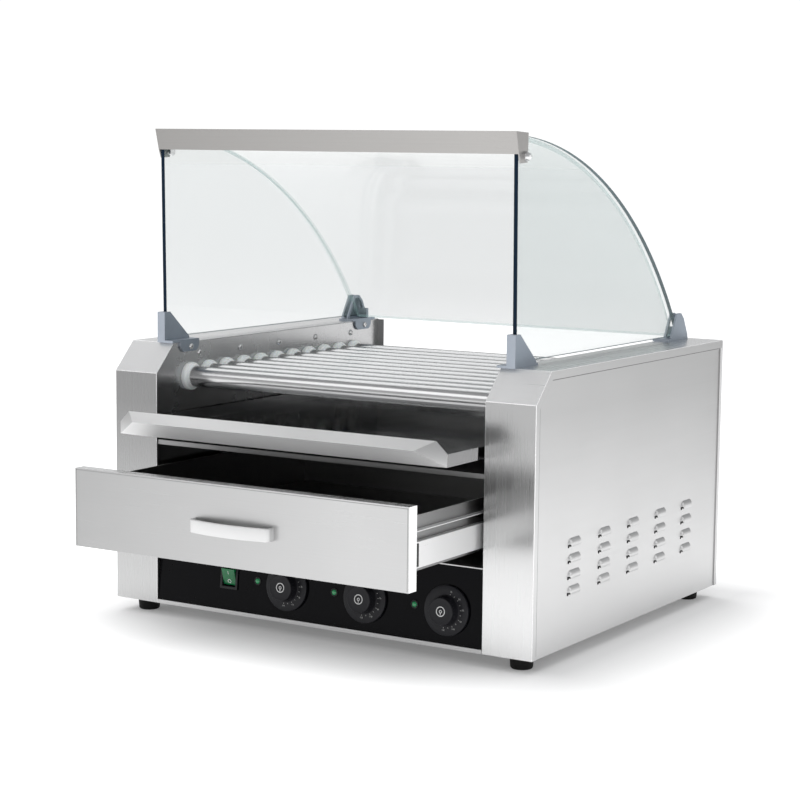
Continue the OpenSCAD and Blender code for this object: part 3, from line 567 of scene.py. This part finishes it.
def dome_screw(work, position, out, radius, height):
    """Round-headed screw with a cross-shaped mark; out is the direction of its head."""
    here = facing(out, position)
    steps = 6
    profile = [(0, radius)] + [
        (height * math.sin(math.pi / 2 * i / steps), radius * math.cos(math.pi / 2 * i / steps) ** 0.6)
        for i in range(1, steps)
    ] + [(height, 0)]
    lathe(work, [(0, 0)] + profile, here, steps=28)
    arm, half = radius * 0.52, radius * 0.11
    for turn in (0, math.pi / 2):
        turned = here @ Matrix.Rotation(turn + 0.6, 4, "Z")
        box = [(-arm, -half), (arm, -half), (arm, half), (-arm, half)]
        prism(work, box, turned, height * 0.82, height * 1.03, 1)


def screws(name, places, radius, height, body, slot, *replaced):
    """One piece of several screw heads; each place is a position and a direction."""
    work = bmesh.new()
    for position, out in places:
        dome_screw(work, position, out, radius, height)
    placed_piece(object_from(name, work, [steel_screw, steel_mill]), body, slot, *replaced)


FIRST_PLATE_SCREW = (-83.9 * MM, 315 * MM)
PLATE_SCREW_PITCH = 84 * MM
CLIP_SCREWS = ((-103.5 * MM, 324 * MM), (282.5 * MM, 324 * MM))
TAB_THICKNESS = 2.6 * MM


def plate_and_clip_screws():
    """Screws that hold the inner plates and the clips' tabs, heads towards the rollers."""
    plate_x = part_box("right_inner_plate")[0].x
    first_y, plate_z = FIRST_PLATE_SCREW
    on_plates, on_tabs = [], []
    for side in (-1, 1):
        inwards = Vector((-side, 0, 0))
        for i in range(5):
            on_plates.append((Vector((side * plate_x, first_y + i * PLATE_SCREW_PITCH, plate_z)), inwards))
        for y, z in CLIP_SCREWS:
            on_tabs.append((Vector((side * (plate_x - TAB_THICKNESS), y, z)), inwards))
    screws("plate_screw_heads", on_plates, 4 * MM, 2.2 * MM, "root", "polished_steel", "plate_screws")
    screws("clip_screw_heads", on_tabs, 3.8 * MM, 2.0 * MM, "root", "polished_steel")


def lip_screws():
    """Small screws under the front edge of the base pan."""
    low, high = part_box("base_pan")
    spacing = (high.x - low.x) / 4
    front = low.y + 6 * MM
    places = [(Vector((x * spacing, front, low.z)), -UP) for x in (-1, 0, 1, 1.75)]
    screws("lip_screws", places, 3 * MM, 2.2 * MM, "root", "dark_steel")


# ---------------------------------------------------------------- glass hood

HOOD_CENTRE_Y = -154.9 * MM
HOOD_CENTRE_Z = 63 * MM
HOOD_RADIUS = 520 * MM
PANE_THICKNESS = 5 * MM
PANE_LEAN = 4.8 * MM
HOOD_STEPS = 96


def hood_point(radius, angle):
    """Point of the hood's round outline, its angle measured from straight up towards the rear."""
    return (HOOD_CENTRE_Y + radius * math.sin(angle), HOOD_CENTRE_Z + radius * math.cos(angle))


def side_pane(node, rim_material):
    """Side pane: a straight leaning front edge, a level bottom and the hood's arc."""
    low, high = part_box(node)
    front_bottom = (low.y + PANE_LEAN, low.z)
    front_top_y = low.y + 0.4 * MM
    start = math.asin((front_top_y - HOOD_CENTRE_Y) / HOOD_RADIUS)
    end = math.acos((low.z - HOOD_CENTRE_Z) / HOOD_RADIUS)
    arc = [hood_point(HOOD_RADIUS, start + (end - start) * i / HOOD_STEPS) for i in range(HOOD_STEPS + 1)]
    work = bmesh.new()
    upright = Matrix(((0, 0, 1, 0), (1, 0, 0, 0), (0, 1, 0, 0), (0, 0, 0, 1)))
    prism(work, [front_bottom] + arc, upright, low.x, high.x)
    made = object_from(node + "_pane", work, [pane_clear, pane_edge, pane_rim, rim_material])
    for face in made.data.polygons:
        normal = face.normal
        if abs(normal.x) < 0.5:
            face.material_index = 1 if normal.y < -0.8 else 2 if normal.z < -0.8 else 3
    placed_piece(made, "root", "glass", node)


def curved_pane():
    """Bent pane between the side panes."""
    low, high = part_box("curved_glass")
    inner = HOOD_RADIUS - PANE_THICKNESS
    start = math.asin((low.y - HOOD_CENTRE_Y) / HOOD_RADIUS)
    end = math.acos((low.z - HOOD_CENTRE_Z) / inner)
    work = bmesh.new()
    rows = []
    for i in range(HOOD_STEPS + 1):
        angle = start + (end - start) * i / HOOD_STEPS
        outer_y, outer_z = hood_point(HOOD_RADIUS, angle)
        inner_y, inner_z = hood_point(inner, angle)
        rows.append([work.verts.new(p) for p in (
            (low.x, outer_y, outer_z), (high.x, outer_y, outer_z),
            (high.x, inner_y, inner_z), (low.x, inner_y, inner_z))])
    for near, far in zip(rows, rows[1:]):
        for i in range(4):
            j = (i + 1) % 4
            work.faces.new((near[i], near[j], far[j], far[i])).material_index = 1 if i in (1, 3) else 0
    work.faces.new(rows[0])
    work.faces.new(rows[-1]).material_index = 1
    made = object_from("curved_pane", work, [pane_clear, pane_pale], smooth=20)
    placed_piece(made, "root", "glass", "curved_glass")


def glass_panes():
    """Clear panes with dark cut edges; the left pane's far edge stays pale."""
    side_pane("left_side_glass", pane_pale)
    side_pane("right_side_glass", pane_rim)
    curved_pane()


def header():
    """Folded cap over the panes' upper ends, with its bolts."""
    copy_of("glass_header", [steel_header], "root", "brushed_steel", 0.3 * MM)
    dress("header_bolts", steel_screw, 0.3 * MM)


def clips():
    """The sideways faces are a darker, slightly duller copy of the cast metal, as painted shade."""
    made = dress("glass_clips", cast_metal, 0.7 * MM, 3)
    made.data.materials.append(cast_flank_shade)
    for face in made.data.polygons:
        face.material_index = 1 if abs(face.normal.x) > 0.7 else 0


# ---------------------------------------------------------------- tray and drawer

NOSE_DEPTH = 26 * MM


def tray():
    """The nose is satin, its downward facets take a lighter steel as painted light and its rounded folds a
    painted highlight; the floor behind it is bright.
    """
    made = dress("drip_tray", steel_tray, 0.35 * MM, 2, fold=steel_fold_highlight)
    made.data.materials.append(steel_nose)
    made.data.materials.append(steel_underside)
    nose, underside = 2, 3
    nose_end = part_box("drip_tray")[0].y + NOSE_DEPTH
    # Painted light: the nose's downward facets take the lighter steel.
    for face in made.data.polygons:
        if face.center.y < nose_end and abs(face.normal.z) < 0.99:
            face.material_index = underside if face.normal.z < -0.2 else nose


def drawer():
    """The box is painted dark inside as shade and light on its outer sides and rim as painted light; the
    front's sides and top take a lighter steel as painted light and its folds a painted highlight.
    """
    made = dress("drawer_box", steel_inside_shaded, 0.3 * MM)
    made.data.materials.append(steel_runner)
    low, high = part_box("drawer_box")
    for face in made.data.polygons:
        outer_side = abs(face.normal.x) > 0.7 and abs(face.center.x) > high.x - 2 * MM
        rim = face.normal.z > 0.9 and face.center.z > low.z + 20 * MM
        # Painted light: the box's outer sides and rim take the lighter runner steel.
        if outer_side or rim:
            face.material_index = 1
    dress("drawer_runners", steel_runner, 0.3 * MM)
    finishes = [steel_drawer, steel_top, steel_fold_highlight]
    edge, fold = 1, 2
    front = copy_of("drawer_front", finishes, "bun_drawer", "brushed_steel", 0.7 * MM, 3, fold=fold)
    # Painted light: the front's sides and top take the lighter top steel.
    for face in front.data.polygons:
        if face.material_index != fold and (abs(face.normal.x) > 0.7 or face.normal.z > 0.7):
            face.material_index = edge
    fold_shade_lines()
    runner_caps()


FOLD_INSET = 1.6 * MM
FOLD_WIDTH = 0.7 * MM


def fold_shade_lines():
    """Fine dark strips of painted shade along the creases just inside the top and side edges of the
    drawer's front.
    """
    low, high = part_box("drawer_front")
    left, right = low.x + FOLD_INSET, high.x - FOLD_INSET
    top, bottom = high.z - FOLD_INSET, low.z + FOLD_INSET
    strips = [
        [(left, top), (right, top), (right, top - FOLD_WIDTH), (left, top - FOLD_WIDTH)],
        [(right, bottom), (right, top), (right - FOLD_WIDTH, top), (right - FOLD_WIDTH, bottom)],
        [(left, bottom), (left, top), (left + FOLD_WIDTH, top), (left + FOLD_WIDTH, bottom)],
    ]
    facing_front = Matrix.Translation((0, low.y, 0)) @ Matrix.Rotation(math.pi / 2, 4, "X")
    work = bmesh.new()
    for strip in strips:
        prism(work, strip, facing_front, -0.2 * MM, 0.05 * MM)
    placed_piece(object_from("drawer_fold_shade_lines", work, [steel_chain_and_crease_shade]), "bun_drawer", "dark_steel")


CAP_HALF = 3 * MM
CAP_LENGTH = 8 * MM
CAP_INSET = 1.5 * MM


def runner_caps():
    """Black buffers on the front ends of the drawer's runners."""
    low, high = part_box("drawer_runners")
    bottom, top = low.z + CAP_INSET, high.z - CAP_INSET
    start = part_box("drawer_front")[1].y + 0.2 * MM
    here = Matrix.Translation((0, start, 0)) @ Matrix.Rotation(math.pi / 2, 4, "X")
    work = bmesh.new()
    for side in (-1, 1):
        middle = side * (high.x - 2.2 * MM)
        left, right = middle - CAP_HALF, middle + CAP_HALF
        box = [(left, bottom), (right, bottom), (right, top), (left, top)]
        prism(work, rounded_profile(box, [1 * MM] * 4, 3, closed=True), here, -CAP_LENGTH, 0)
    placed_piece(object_from("runner_caps", work, [black_plastic]), "bun_drawer", "black_plastic")


SEAM_WIDTH = 1.5 * MM
SEAM_HEIGHT = 0.35 * MM
SHEET = 1.2 * MM


def side_seam_shade_strips():
    """Dark strip of painted shade along the step where each side panel meets the flange that the end cover
    turns over it.
    """
    low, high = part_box("right_end_cover")
    mitre = FLANGE_WIDTH * 0.41
    front_y, top_z = low.y + FLANGE_WIDTH, high.z - FLANGE_WIDTH
    route = [
        (front_y, low.z + 4 * MM), (front_y, high.z - SHOULDER_HEIGHT - mitre),
        (low.y + SHOULDER_DEPTH + mitre, top_z), (high.y - 12 * MM, top_z),
    ]
    work = bmesh.new()
    for side in (-1, 1):
        face = side * (high.x - SHEET)
        out = Vector((side * SEAM_HEIGHT, 0, 0))
        for (y0, z0), (y1, z1) in zip(route, route[1:]):
            start, end = Vector((face, y0, z0)), Vector((face, y1, z1))
            across = (end - start).normalized().cross(Vector((1, 0, 0))) * SEAM_WIDTH
            corners = [start, start + across, end + across, end]
            bottom = [work.verts.new(c - out) for c in corners]
            top = [work.verts.new(c + out) for c in corners]
            work.faces.new(bottom)
            work.faces.new(top)
            for i in range(4):
                j = (i + 1) % 4
                work.faces.new((bottom[i], bottom[j], top[j], top[i]))
    placed_piece(object_from("side_seam_shade_strips", work, [seam_shade_paint]), "root", "rubber")


def swept_strap(name, path, width, thickness, material):
    """Flat strap with rounded edges that follows a level path; width is its height."""
    half_w, half_t = width / 2, thickness / 2
    corner = half_t * 0.8
    section = rounded_profile(
        [(-half_t, -half_w), (half_t, -half_w), (half_t, half_w), (-half_t, half_w)],
        [corner] * 4, steps=3, closed=True)
    work = bmesh.new()
    rings = []
    for i, point in enumerate(path):
        ahead = path[min(i + 1, len(path) - 1)] - path[max(i - 1, 0)]
        side = ahead.normalized().cross(UP)
        rings.append([work.verts.new(point + side * a + UP * b) for a, b in section])
    for low, high in zip(rings, rings[1:]):
        for i in range(len(section)):
            j = (i + 1) % len(section)
            work.faces.new((low[i], low[j], high[j], high[i]))
    work.faces.new(list(reversed(rings[0])))
    work.faces.new(rings[-1])
    return object_from(name, work, [material], smooth=50)


HANDLE_STRAP = 3 * MM
HANDLE_END_REACH = 10 * MM
HANDLE_CORNER = 5 * MM
CORNER_STEPS = 6
BOW_STEPS = 28


def handle():
    """Bow pull: two short legs, rounded corners and a front that bows outwards."""
    low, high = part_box("drawer_handle")
    half = (high.x - low.x) / 2 - HANDLE_STRAP / 2
    reach = high.y - low.y - HANDLE_STRAP / 2
    middle_z = (low.z + high.z) / 2
    corner_y = high.y - HANDLE_END_REACH + HANDLE_CORNER
    path = [Vector((-half, high.y, middle_z)), Vector((-half, corner_y, middle_z))]
    for i in range(1, CORNER_STEPS + 1):
        turn = math.pi / 2 * i / CORNER_STEPS
        path.append(Vector((-half + HANDLE_CORNER * (1 - math.cos(turn)),
                            corner_y - HANDLE_CORNER * math.sin(turn), middle_z)))
    mirrored = [Vector((-point.x, point.y, point.z)) for point in reversed(path)]
    span = half - HANDLE_CORNER
    for i in range(1, BOW_STEPS):
        x = -span + 2 * span * i / BOW_STEPS
        bow = (reach - HANDLE_END_REACH) * (1 - (x / span) ** 2)
        path.append(Vector((x, high.y - HANDLE_END_REACH - bow, middle_z)))
    path += mirrored
    strap = swept_strap("handle_strap", path, high.z - low.z, HANDLE_STRAP, handle_metal)
    placed_piece(strap, "bun_drawer", "handle_metal", "drawer_handle")


# ---------------------------------------------------------------- controls

KNOBS = ("knob_front", "knob_back", "knob_warm")
SKIRT_RADIUS = 28.5 * MM
GRIP_RADIUS = 15.5 * MM
GRIP_TOP = 17 * MM
CAP_FACE = GRIP_TOP - 1.6 * MM
SKIRT_TOP = 4.2 * MM
RIB_COUNT = 30
INK = (-0.1 * MM, 0.12 * MM)


def control_frame(position, out):
    """Frame on the fascia: x across to the right, y up the face, z out of it."""
    across = Vector((1, 0, 0))
    up = out.cross(across)
    turn = Matrix((across, up, out)).transposed().to_4x4()
    return Matrix.Translation(position) @ turn


def ring(work, here, radius, width, low, high, steps=48):
    """Flat ring of a mean radius between two heights of the frame's z axis."""
    profile = [(low, radius - width / 2), (low, radius + width / 2), (high, radius + width / 2),
               (high, radius - width / 2)]
    lathe(work, profile, here, steps, closed=True)


def bar(work, here, half_width, bottom, top, low, high):
    """Upright rectangle on the frame, raised between two heights of its z axis."""
    outline = [(-half_width, bottom), (half_width, bottom), (half_width, top), (-half_width, top)]
    prism(work, outline, here, low, high)


def knob_piece(name):
    """Skirted knob with a ribbed grip, its cap mark and its dial."""
    joint = joints[name + "_turn"]
    out = Vector(joint["axis"]).normalized()
    here = control_frame(Vector(joint["pos_m"]), out)
    work = bmesh.new()
    skirt = rounded_profile(
        [(0.8 * MM, 0), (0.8 * MM, SKIRT_RADIUS), (SKIRT_TOP - 0.6 * MM, SKIRT_RADIUS),
         (SKIRT_TOP, SKIRT_RADIUS - 5 * MM), (SKIRT_TOP, GRIP_RADIUS + 1.2 * MM),
         (GRIP_TOP - 1.0 * MM, GRIP_RADIUS), (GRIP_TOP - 1.4 * MM, GRIP_RADIUS - 3 * MM),
         (CAP_FACE, 0)],
        [0, 0.4 * MM, 0.8 * MM, 2 * MM, 1.4 * MM, 1.2 * MM, 1.0 * MM, 0])
    lathe(work, skirt, here, steps=96)
    lathe(work, [(-13 * MM, 0), (-13 * MM, 3 * MM), (0.8 * MM, 3 * MM)], here, steps=24)
    root, tip = GRIP_RADIUS - 0.6 * MM, GRIP_RADIUS + 0.55 * MM
    rib = [(root, -0.45 * MM), (tip, -0.3 * MM), (tip, 0.3 * MM), (root, 0.45 * MM)]
    for i in range(RIB_COUNT):
        turn = here @ Matrix.Rotation(2 * math.pi * i / RIB_COUNT, 4, "Z")
        prism(work, rib, turn, SKIRT_TOP - 0.2 * MM, GRIP_TOP - 3 * MM)
    knob = object_from(name + "_moulding", work, [knob_plastic], smooth=30)
    placed_piece(knob, name, "black_plastic", name)

    marks = bmesh.new()
    cap = here @ Matrix.Translation((0, 0, CAP_FACE))
    ring(marks, cap, 5.2 * MM, 0.9 * MM, *INK)
    ring(marks, cap, 1.5 * MM, 0.7 * MM, *INK, steps=24)
    bar(marks, cap, 0.35 * MM, -4.2 * MM, -1.8 * MM, *INK)
    made = object_from(name + "_cap_mark", marks, [print_white])
    placed_piece(made, name, "ptfe")
    dial_marks(name, here)


DIAL_FIRST = 75
DIAL_STEP = -17
DIAL_TICKS = 11
TICK_INNER = 18.6 * MM
TICK_OUTER = 20.0 * MM
TICK_HALF = 0.28 * MM
NUMBER_RADIUS = 22.2 * MM
NUMBER_SIZE = 2.7 * MM


def dial_marks(name, here):
    """Ticks and plain numbers on the skirt, over its upper right."""
    work = bmesh.new()
    tick_z = SKIRT_TOP + 0.02 * MM
    tick = [(TICK_INNER, -TICK_HALF), (TICK_OUTER, -TICK_HALF),
            (TICK_OUTER, TICK_HALF), (TICK_INNER, TICK_HALF)]
    for i in range(DIAL_TICKS):
        turn = here @ Matrix.Rotation(math.radians(DIAL_FIRST + i * DIAL_STEP), 4, "Z")
        prism(work, tick, turn, tick_z - 0.1 * MM, tick_z + 0.04 * MM)
    for i in range(0, DIAL_TICKS, 2):
        angle = math.radians(DIAL_FIRST + i * DIAL_STEP)
        middle = Vector((math.cos(angle), math.sin(angle), 0)) * NUMBER_RADIUS
        number_on(work, str(30 + 20 * (i // 2)), here @ Matrix.Translation(middle), NUMBER_SIZE, tick_z)
    made = object_from(name + "_dial", work, [print_dim])
    placed_piece(made, name, "ptfe")


def number_on(work, text, here, size, height):
    """Adds a plain number as thin flat letters centred on the frame."""
    curve = bpy.data.curves.new("number", "FONT")
    curve.body = text
    curve.size = size
    curve.align_x = "CENTER"
    curve.align_y = "CENTER"
    curve.resolution_u = 2
    curve.extrude = 0.03 * MM
    holder = bpy.data.objects.new("number", curve)
    mesh = bpy.data.meshes.new_from_object(holder)
    mesh.transform(here @ Matrix.Translation((0, 0, height)))
    work.from_mesh(mesh)
    bpy.data.objects.remove(holder)
    bpy.data.curves.remove(curve)
    bpy.data.meshes.remove(mesh)


LAMP_RADIUS = 4.2 * MM
LENS_RADIUS = 3.3 * MM
LAMP_RISE = 1.5 * MM


def lamp_pieces(places):
    """Domed green lenses in black rims."""
    seat = -6 * MM
    dome = rounded_profile(
        [(seat, 0), (seat, LENS_RADIUS), (0.9 * MM, LENS_RADIUS), (2.1 * MM, 1.8 * MM), (2.4 * MM, 0)],
        [0, 0.3 * MM, 0.8 * MM, 0.8 * MM, 0])
    bore, barrel = LENS_RADIUS + 0.05 * MM, LAMP_RADIUS - 0.1 * MM
    rim = rounded_profile(
        [(seat, bore), (seat, barrel), (0, barrel), (0, LAMP_RADIUS + 0.9 * MM),
         (1.0 * MM, LAMP_RADIUS + 0.5 * MM), (1.0 * MM, bore)],
        [0, 0, 0, 0.2 * MM, 0.3 * MM, 0.3 * MM], closed=True)
    lenses, rims = bmesh.new(), bmesh.new()
    for here in places:
        lathe(lenses, dome, here, steps=32)
        lathe(rims, rim, here, steps=32, closed=True)
    placed_piece(object_from("lamp_lenses", lenses, [green_lens]), "root", "green_lens", "indicator_lamps")
    placed_piece(object_from("lamp_rims", rims, [black_plastic]), "root", "black_plastic")


def controls():
    """Knobs, the lamps in a row beside them, and the power rocker."""
    for name in KNOBS:
        knob_piece(name)
    knob_joint = joints["knob_front_turn"]
    knob = Vector(knob_joint["pos_m"])
    out = Vector(knob_joint["axis"]).normalized()
    low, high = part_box("indicator_lamps")
    first, last = low.x + LAMP_RADIUS, high.x - LAMP_RADIUS
    lamps = []
    for i in range(3):
        spot = Vector((first + (last - first) * i / 2, knob.y, knob.z))
        lamps.append(control_frame(spot, out) @ Matrix.Translation((0, LAMP_RISE, 0)))
    lamp_pieces(lamps)
    rocker(out)


ROCKER_LEAN = 10
ROCKER_MARK_RISE = 5.4 * MM


def on_face(here, rise, height, lean):
    """Frame that is moved up a face and off it, and then leans by an angle in degrees."""
    return here @ Matrix.Translation((0, rise, height)) @ Matrix.Rotation(math.radians(lean), 4, "X")


def rocker(out):
    """Green rocker with its round and straight marks."""
    copy_of("power_rocker", [green_plastic], "power_rocker", "green_lens", 0.7 * MM, 3)
    pivot = Vector(joints["power_rocker_tilt"]["pos_m"])
    here = control_frame(pivot, out) @ Matrix.Rotation(math.radians(ROCKER_LEAN), 4, "X")
    marks = bmesh.new()
    lower = on_face(here, -ROCKER_MARK_RISE, 4.36 * MM, 11.1)
    ring(marks, lower, 2.1 * MM, 0.7 * MM, *INK, steps=32)
    upper = on_face(here, ROCKER_MARK_RISE, 6.36 * MM, ROCKER_LEAN)
    bar(marks, upper, 0.35 * MM, -2 * MM, 2 * MM, *INK)
    placed_piece(object_from("rocker_marks", marks, [print_white]), "power_rocker", "ptfe")


# ---------------------------------------------------------------- feet

FOOT_RADIUS = 14 * MM
SCREW_WELL = 5.5 * MM
SCREW_BORE = 3 * MM


def foot_pieces():
    """Tapered rubber feet, each with a collar at the top and a well for its screw."""
    low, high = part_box("feet")
    work = bmesh.new()
    tall = high.z - low.z
    collar = tall - 3 * MM
    profile = rounded_profile(
        [(0, SCREW_WELL), (0, 11.2 * MM), (1.4 * MM, 12.6 * MM), (collar, 13.6 * MM),
         (collar, FOOT_RADIUS), (tall, FOOT_RADIUS), (tall, SCREW_BORE), (tall / 2, SCREW_BORE),
         (tall / 2, SCREW_WELL)],
        [0.4 * MM, 0.8 * MM, 0.8 * MM, 0.2 * MM, 0.3 * MM, 0, 0, 0, 0], closed=True)
    for x in (low.x + FOOT_RADIUS, high.x - FOOT_RADIUS):
        for y in (low.y + FOOT_RADIUS, high.y - FOOT_RADIUS):
            lathe(work, profile, Matrix.Translation((x, y, low.z)), steps=40, closed=True)
    placed_piece(object_from("foot_mouldings", work, [rubber]), "root", "rubber", "feet")


# ---------------------------------------------------------------- camera, floor and light

CAMERA_AIM = Vector((0.0583, -0.0729, 0.2756))
CAMERA_DISTANCE = 2.433
CAMERA_AZIMUTH = 32.19
CAMERA_ELEVATION = 7.04
CAMERA_ROLL = 0.58
CAMERA_LENS = 94.05


def camera():
    """Camera that looks at the aim point from the given azimuth, elevation and distance."""
    data = bpy.data.cameras.new("camera")
    data.lens = CAMERA_LENS
    data.sensor_width = 36
    data.clip_end = 50
    made = bpy.data.objects.new("camera", data)
    azimuth, elevation = math.radians(CAMERA_AZIMUTH), math.radians(CAMERA_ELEVATION)
    back = Vector((math.sin(azimuth) * math.cos(elevation), -math.cos(azimuth) * math.cos(elevation),
                   math.sin(elevation)))
    right = UP.cross(back).normalized()
    up = back.cross(right)
    turn = Matrix((right, up, back)).transposed() @ Matrix.Rotation(math.radians(CAMERA_ROLL), 3, "Z")
    made.matrix_world = Matrix.Translation(CAMERA_AIM + back * CAMERA_DISTANCE) @ turn.to_4x4()
    bpy.context.scene.collection.objects.link(made)
    bpy.context.scene.camera = made


def softbox(name, position, target, width, height, radiance, mirrored=True):
    """Rectangular light of a given brightness; not mirrored means that metal doesn't show it."""
    data = bpy.data.lights.new(name, "AREA")
    data.shape = "RECTANGLE"
    data.size, data.size_y = width, height
    data.energy = radiance * math.pi * width * height
    made = bpy.data.objects.new(name, data)
    made.location = position
    made.rotation_euler = (Vector(target) - Vector(position)).to_track_quat("-Z", "Y").to_euler()
    made.visible_glossy = mirrored
    bpy.context.scene.collection.objects.link(made)


# Centre and half size of the footprint around which the floor's painted shadow lies.
SHADOW_CENTRE = (0.03, 0.11, 0)
SHADOW_HALF = (0.28, 0.25, 1)


def vector_step(tree, operation, first, second=None):
    """A vector operation on a socket and an optional fixed vector."""
    node = tree.nodes.new("ShaderNodeVectorMath")
    node.operation = operation
    tree.links.new(first, node.inputs[0])
    if second:
        node.inputs[1].default_value = second
    return node.outputs["Value"] if operation == "LENGTH" else node.outputs["Vector"]


def floor_paint():
    """White paper whose glow is painted light that keeps it white far off; near the object the glow drops
    as a painted soft shadow around its footprint.
    """
    paint = new_material("floor_white", (0.80, 0.80, 0.80), 1.0, Emission_Color=(1, 1, 1, 1),
                         Specular_IOR_Level=0.0)
    tree = paint.node_tree
    coordinates = tree.nodes.new("ShaderNodeTexCoord")
    offset = vector_step(tree, "SUBTRACT", coordinates.outputs["Object"], SHADOW_CENTRE)
    outside = vector_step(tree, "SUBTRACT", vector_step(tree, "ABSOLUTE", offset), SHADOW_HALF)
    distance = vector_step(tree, "LENGTH", vector_step(tree, "MAXIMUM", outside, (0, 0, 0)))
    # Painted light and shadow: the floor's glow rises away from the object's footprint.
    painted_floor_glow = ranged(paint, distance, 0.12, 0.68, (0.0, 0.17))
    tree.links.new(painted_floor_glow, tree.nodes["Principled BSDF"].inputs["Emission Strength"])
    return paint


def sky():
    """Even studio surroundings, brightest at the horizon; seen directly they are plain white."""
    world = bpy.data.worlds.new("studio")
    world.use_nodes = True
    bpy.context.scene.world = world
    tree = world.node_tree
    coordinates = tree.nodes.new("ShaderNodeTexCoord")
    split = tree.nodes.new("ShaderNodeSeparateXYZ")
    height = tree.nodes.new("ShaderNodeMapRange")
    height.inputs["From Min"].default_value = -1
    height.inputs["From Max"].default_value = 1
    ramp = tree.nodes.new("ShaderNodeValToRGB")
    stops = ramp.color_ramp.elements
    stops[0].position, stops[0].color = 0.0, (0.85, 0.85, 0.85, 1)
    stops[1].position, stops[1].color = 1.0, (0.66, 0.66, 0.67, 1)
    stops.new(0.53).color = (1.0, 1.0, 1.0, 1)
    stops.new(0.68).color = (0.66, 0.67, 0.68, 1)
    tree.links.new(coordinates.outputs["Generated"], split.inputs["Vector"])
    tree.links.new(split.outputs["Z"], height.inputs["Value"])
    tree.links.new(height.outputs["Result"], ramp.inputs["Fac"])
    lit = tree.nodes["Background"]
    lit.inputs["Strength"].default_value = 0.72
    tree.links.new(ramp.outputs["Color"], lit.inputs["Color"])
    seen = tree.nodes.new("ShaderNodeBackground")
    seen.inputs["Color"].default_value = (1, 1, 1, 1)
    seen.inputs["Strength"].default_value = 1.05
    path = tree.nodes.new("ShaderNodeLightPath")
    mix = tree.nodes.new("ShaderNodeMixShader")
    tree.links.new(path.outputs["Is Camera Ray"], mix.inputs["Fac"])
    tree.links.new(lit.outputs["Background"], mix.inputs[1])
    tree.links.new(seen.outputs["Background"], mix.inputs[2])
    tree.links.new(mix.outputs["Shader"], tree.nodes["World Output"].inputs["Surface"])


def studio():
    """White floor, surroundings and soft lights."""
    bpy.context.scene.view_settings.view_transform = "Standard"
    sky()
    bpy.ops.mesh.primitive_plane_add(size=80, location=(0, 0, 0))
    floor = bpy.context.object
    floor.name = "floor"
    floor.data.materials.append(floor_paint())
    middle = (0, 0, 0.25)
    softbox("fill", (0, 0, 3.4), (0, 0, 0), 5.0, 5.0, 0.90, mirrored=False)
    softbox("key", (-1.6, -2.4, 2.2), middle, 1.4, 1.4, 1.3)
    softbox("side", (2.8, 0.8, 1.4), middle, 1.6, 1.6, 1.1)
    softbox("overhead", (-1.5, 1.0, 2.4), middle, 2.0, 1.4, 1.5)


camera()
dress_housing()
for roller_number in range(1, ROLLER_COUNT + 1):
    roller_piece(roller_number)
seal_rings(-1, "left_roller_seals")
seal_rings(1, "right_roller_seals")
plate_and_clip_screws()
lip_screws()
side_seam_shade_strips()
glass_panes()
header()
clips()
tray()
drawer()
handle()
controls()
foot_pieces()
studio()
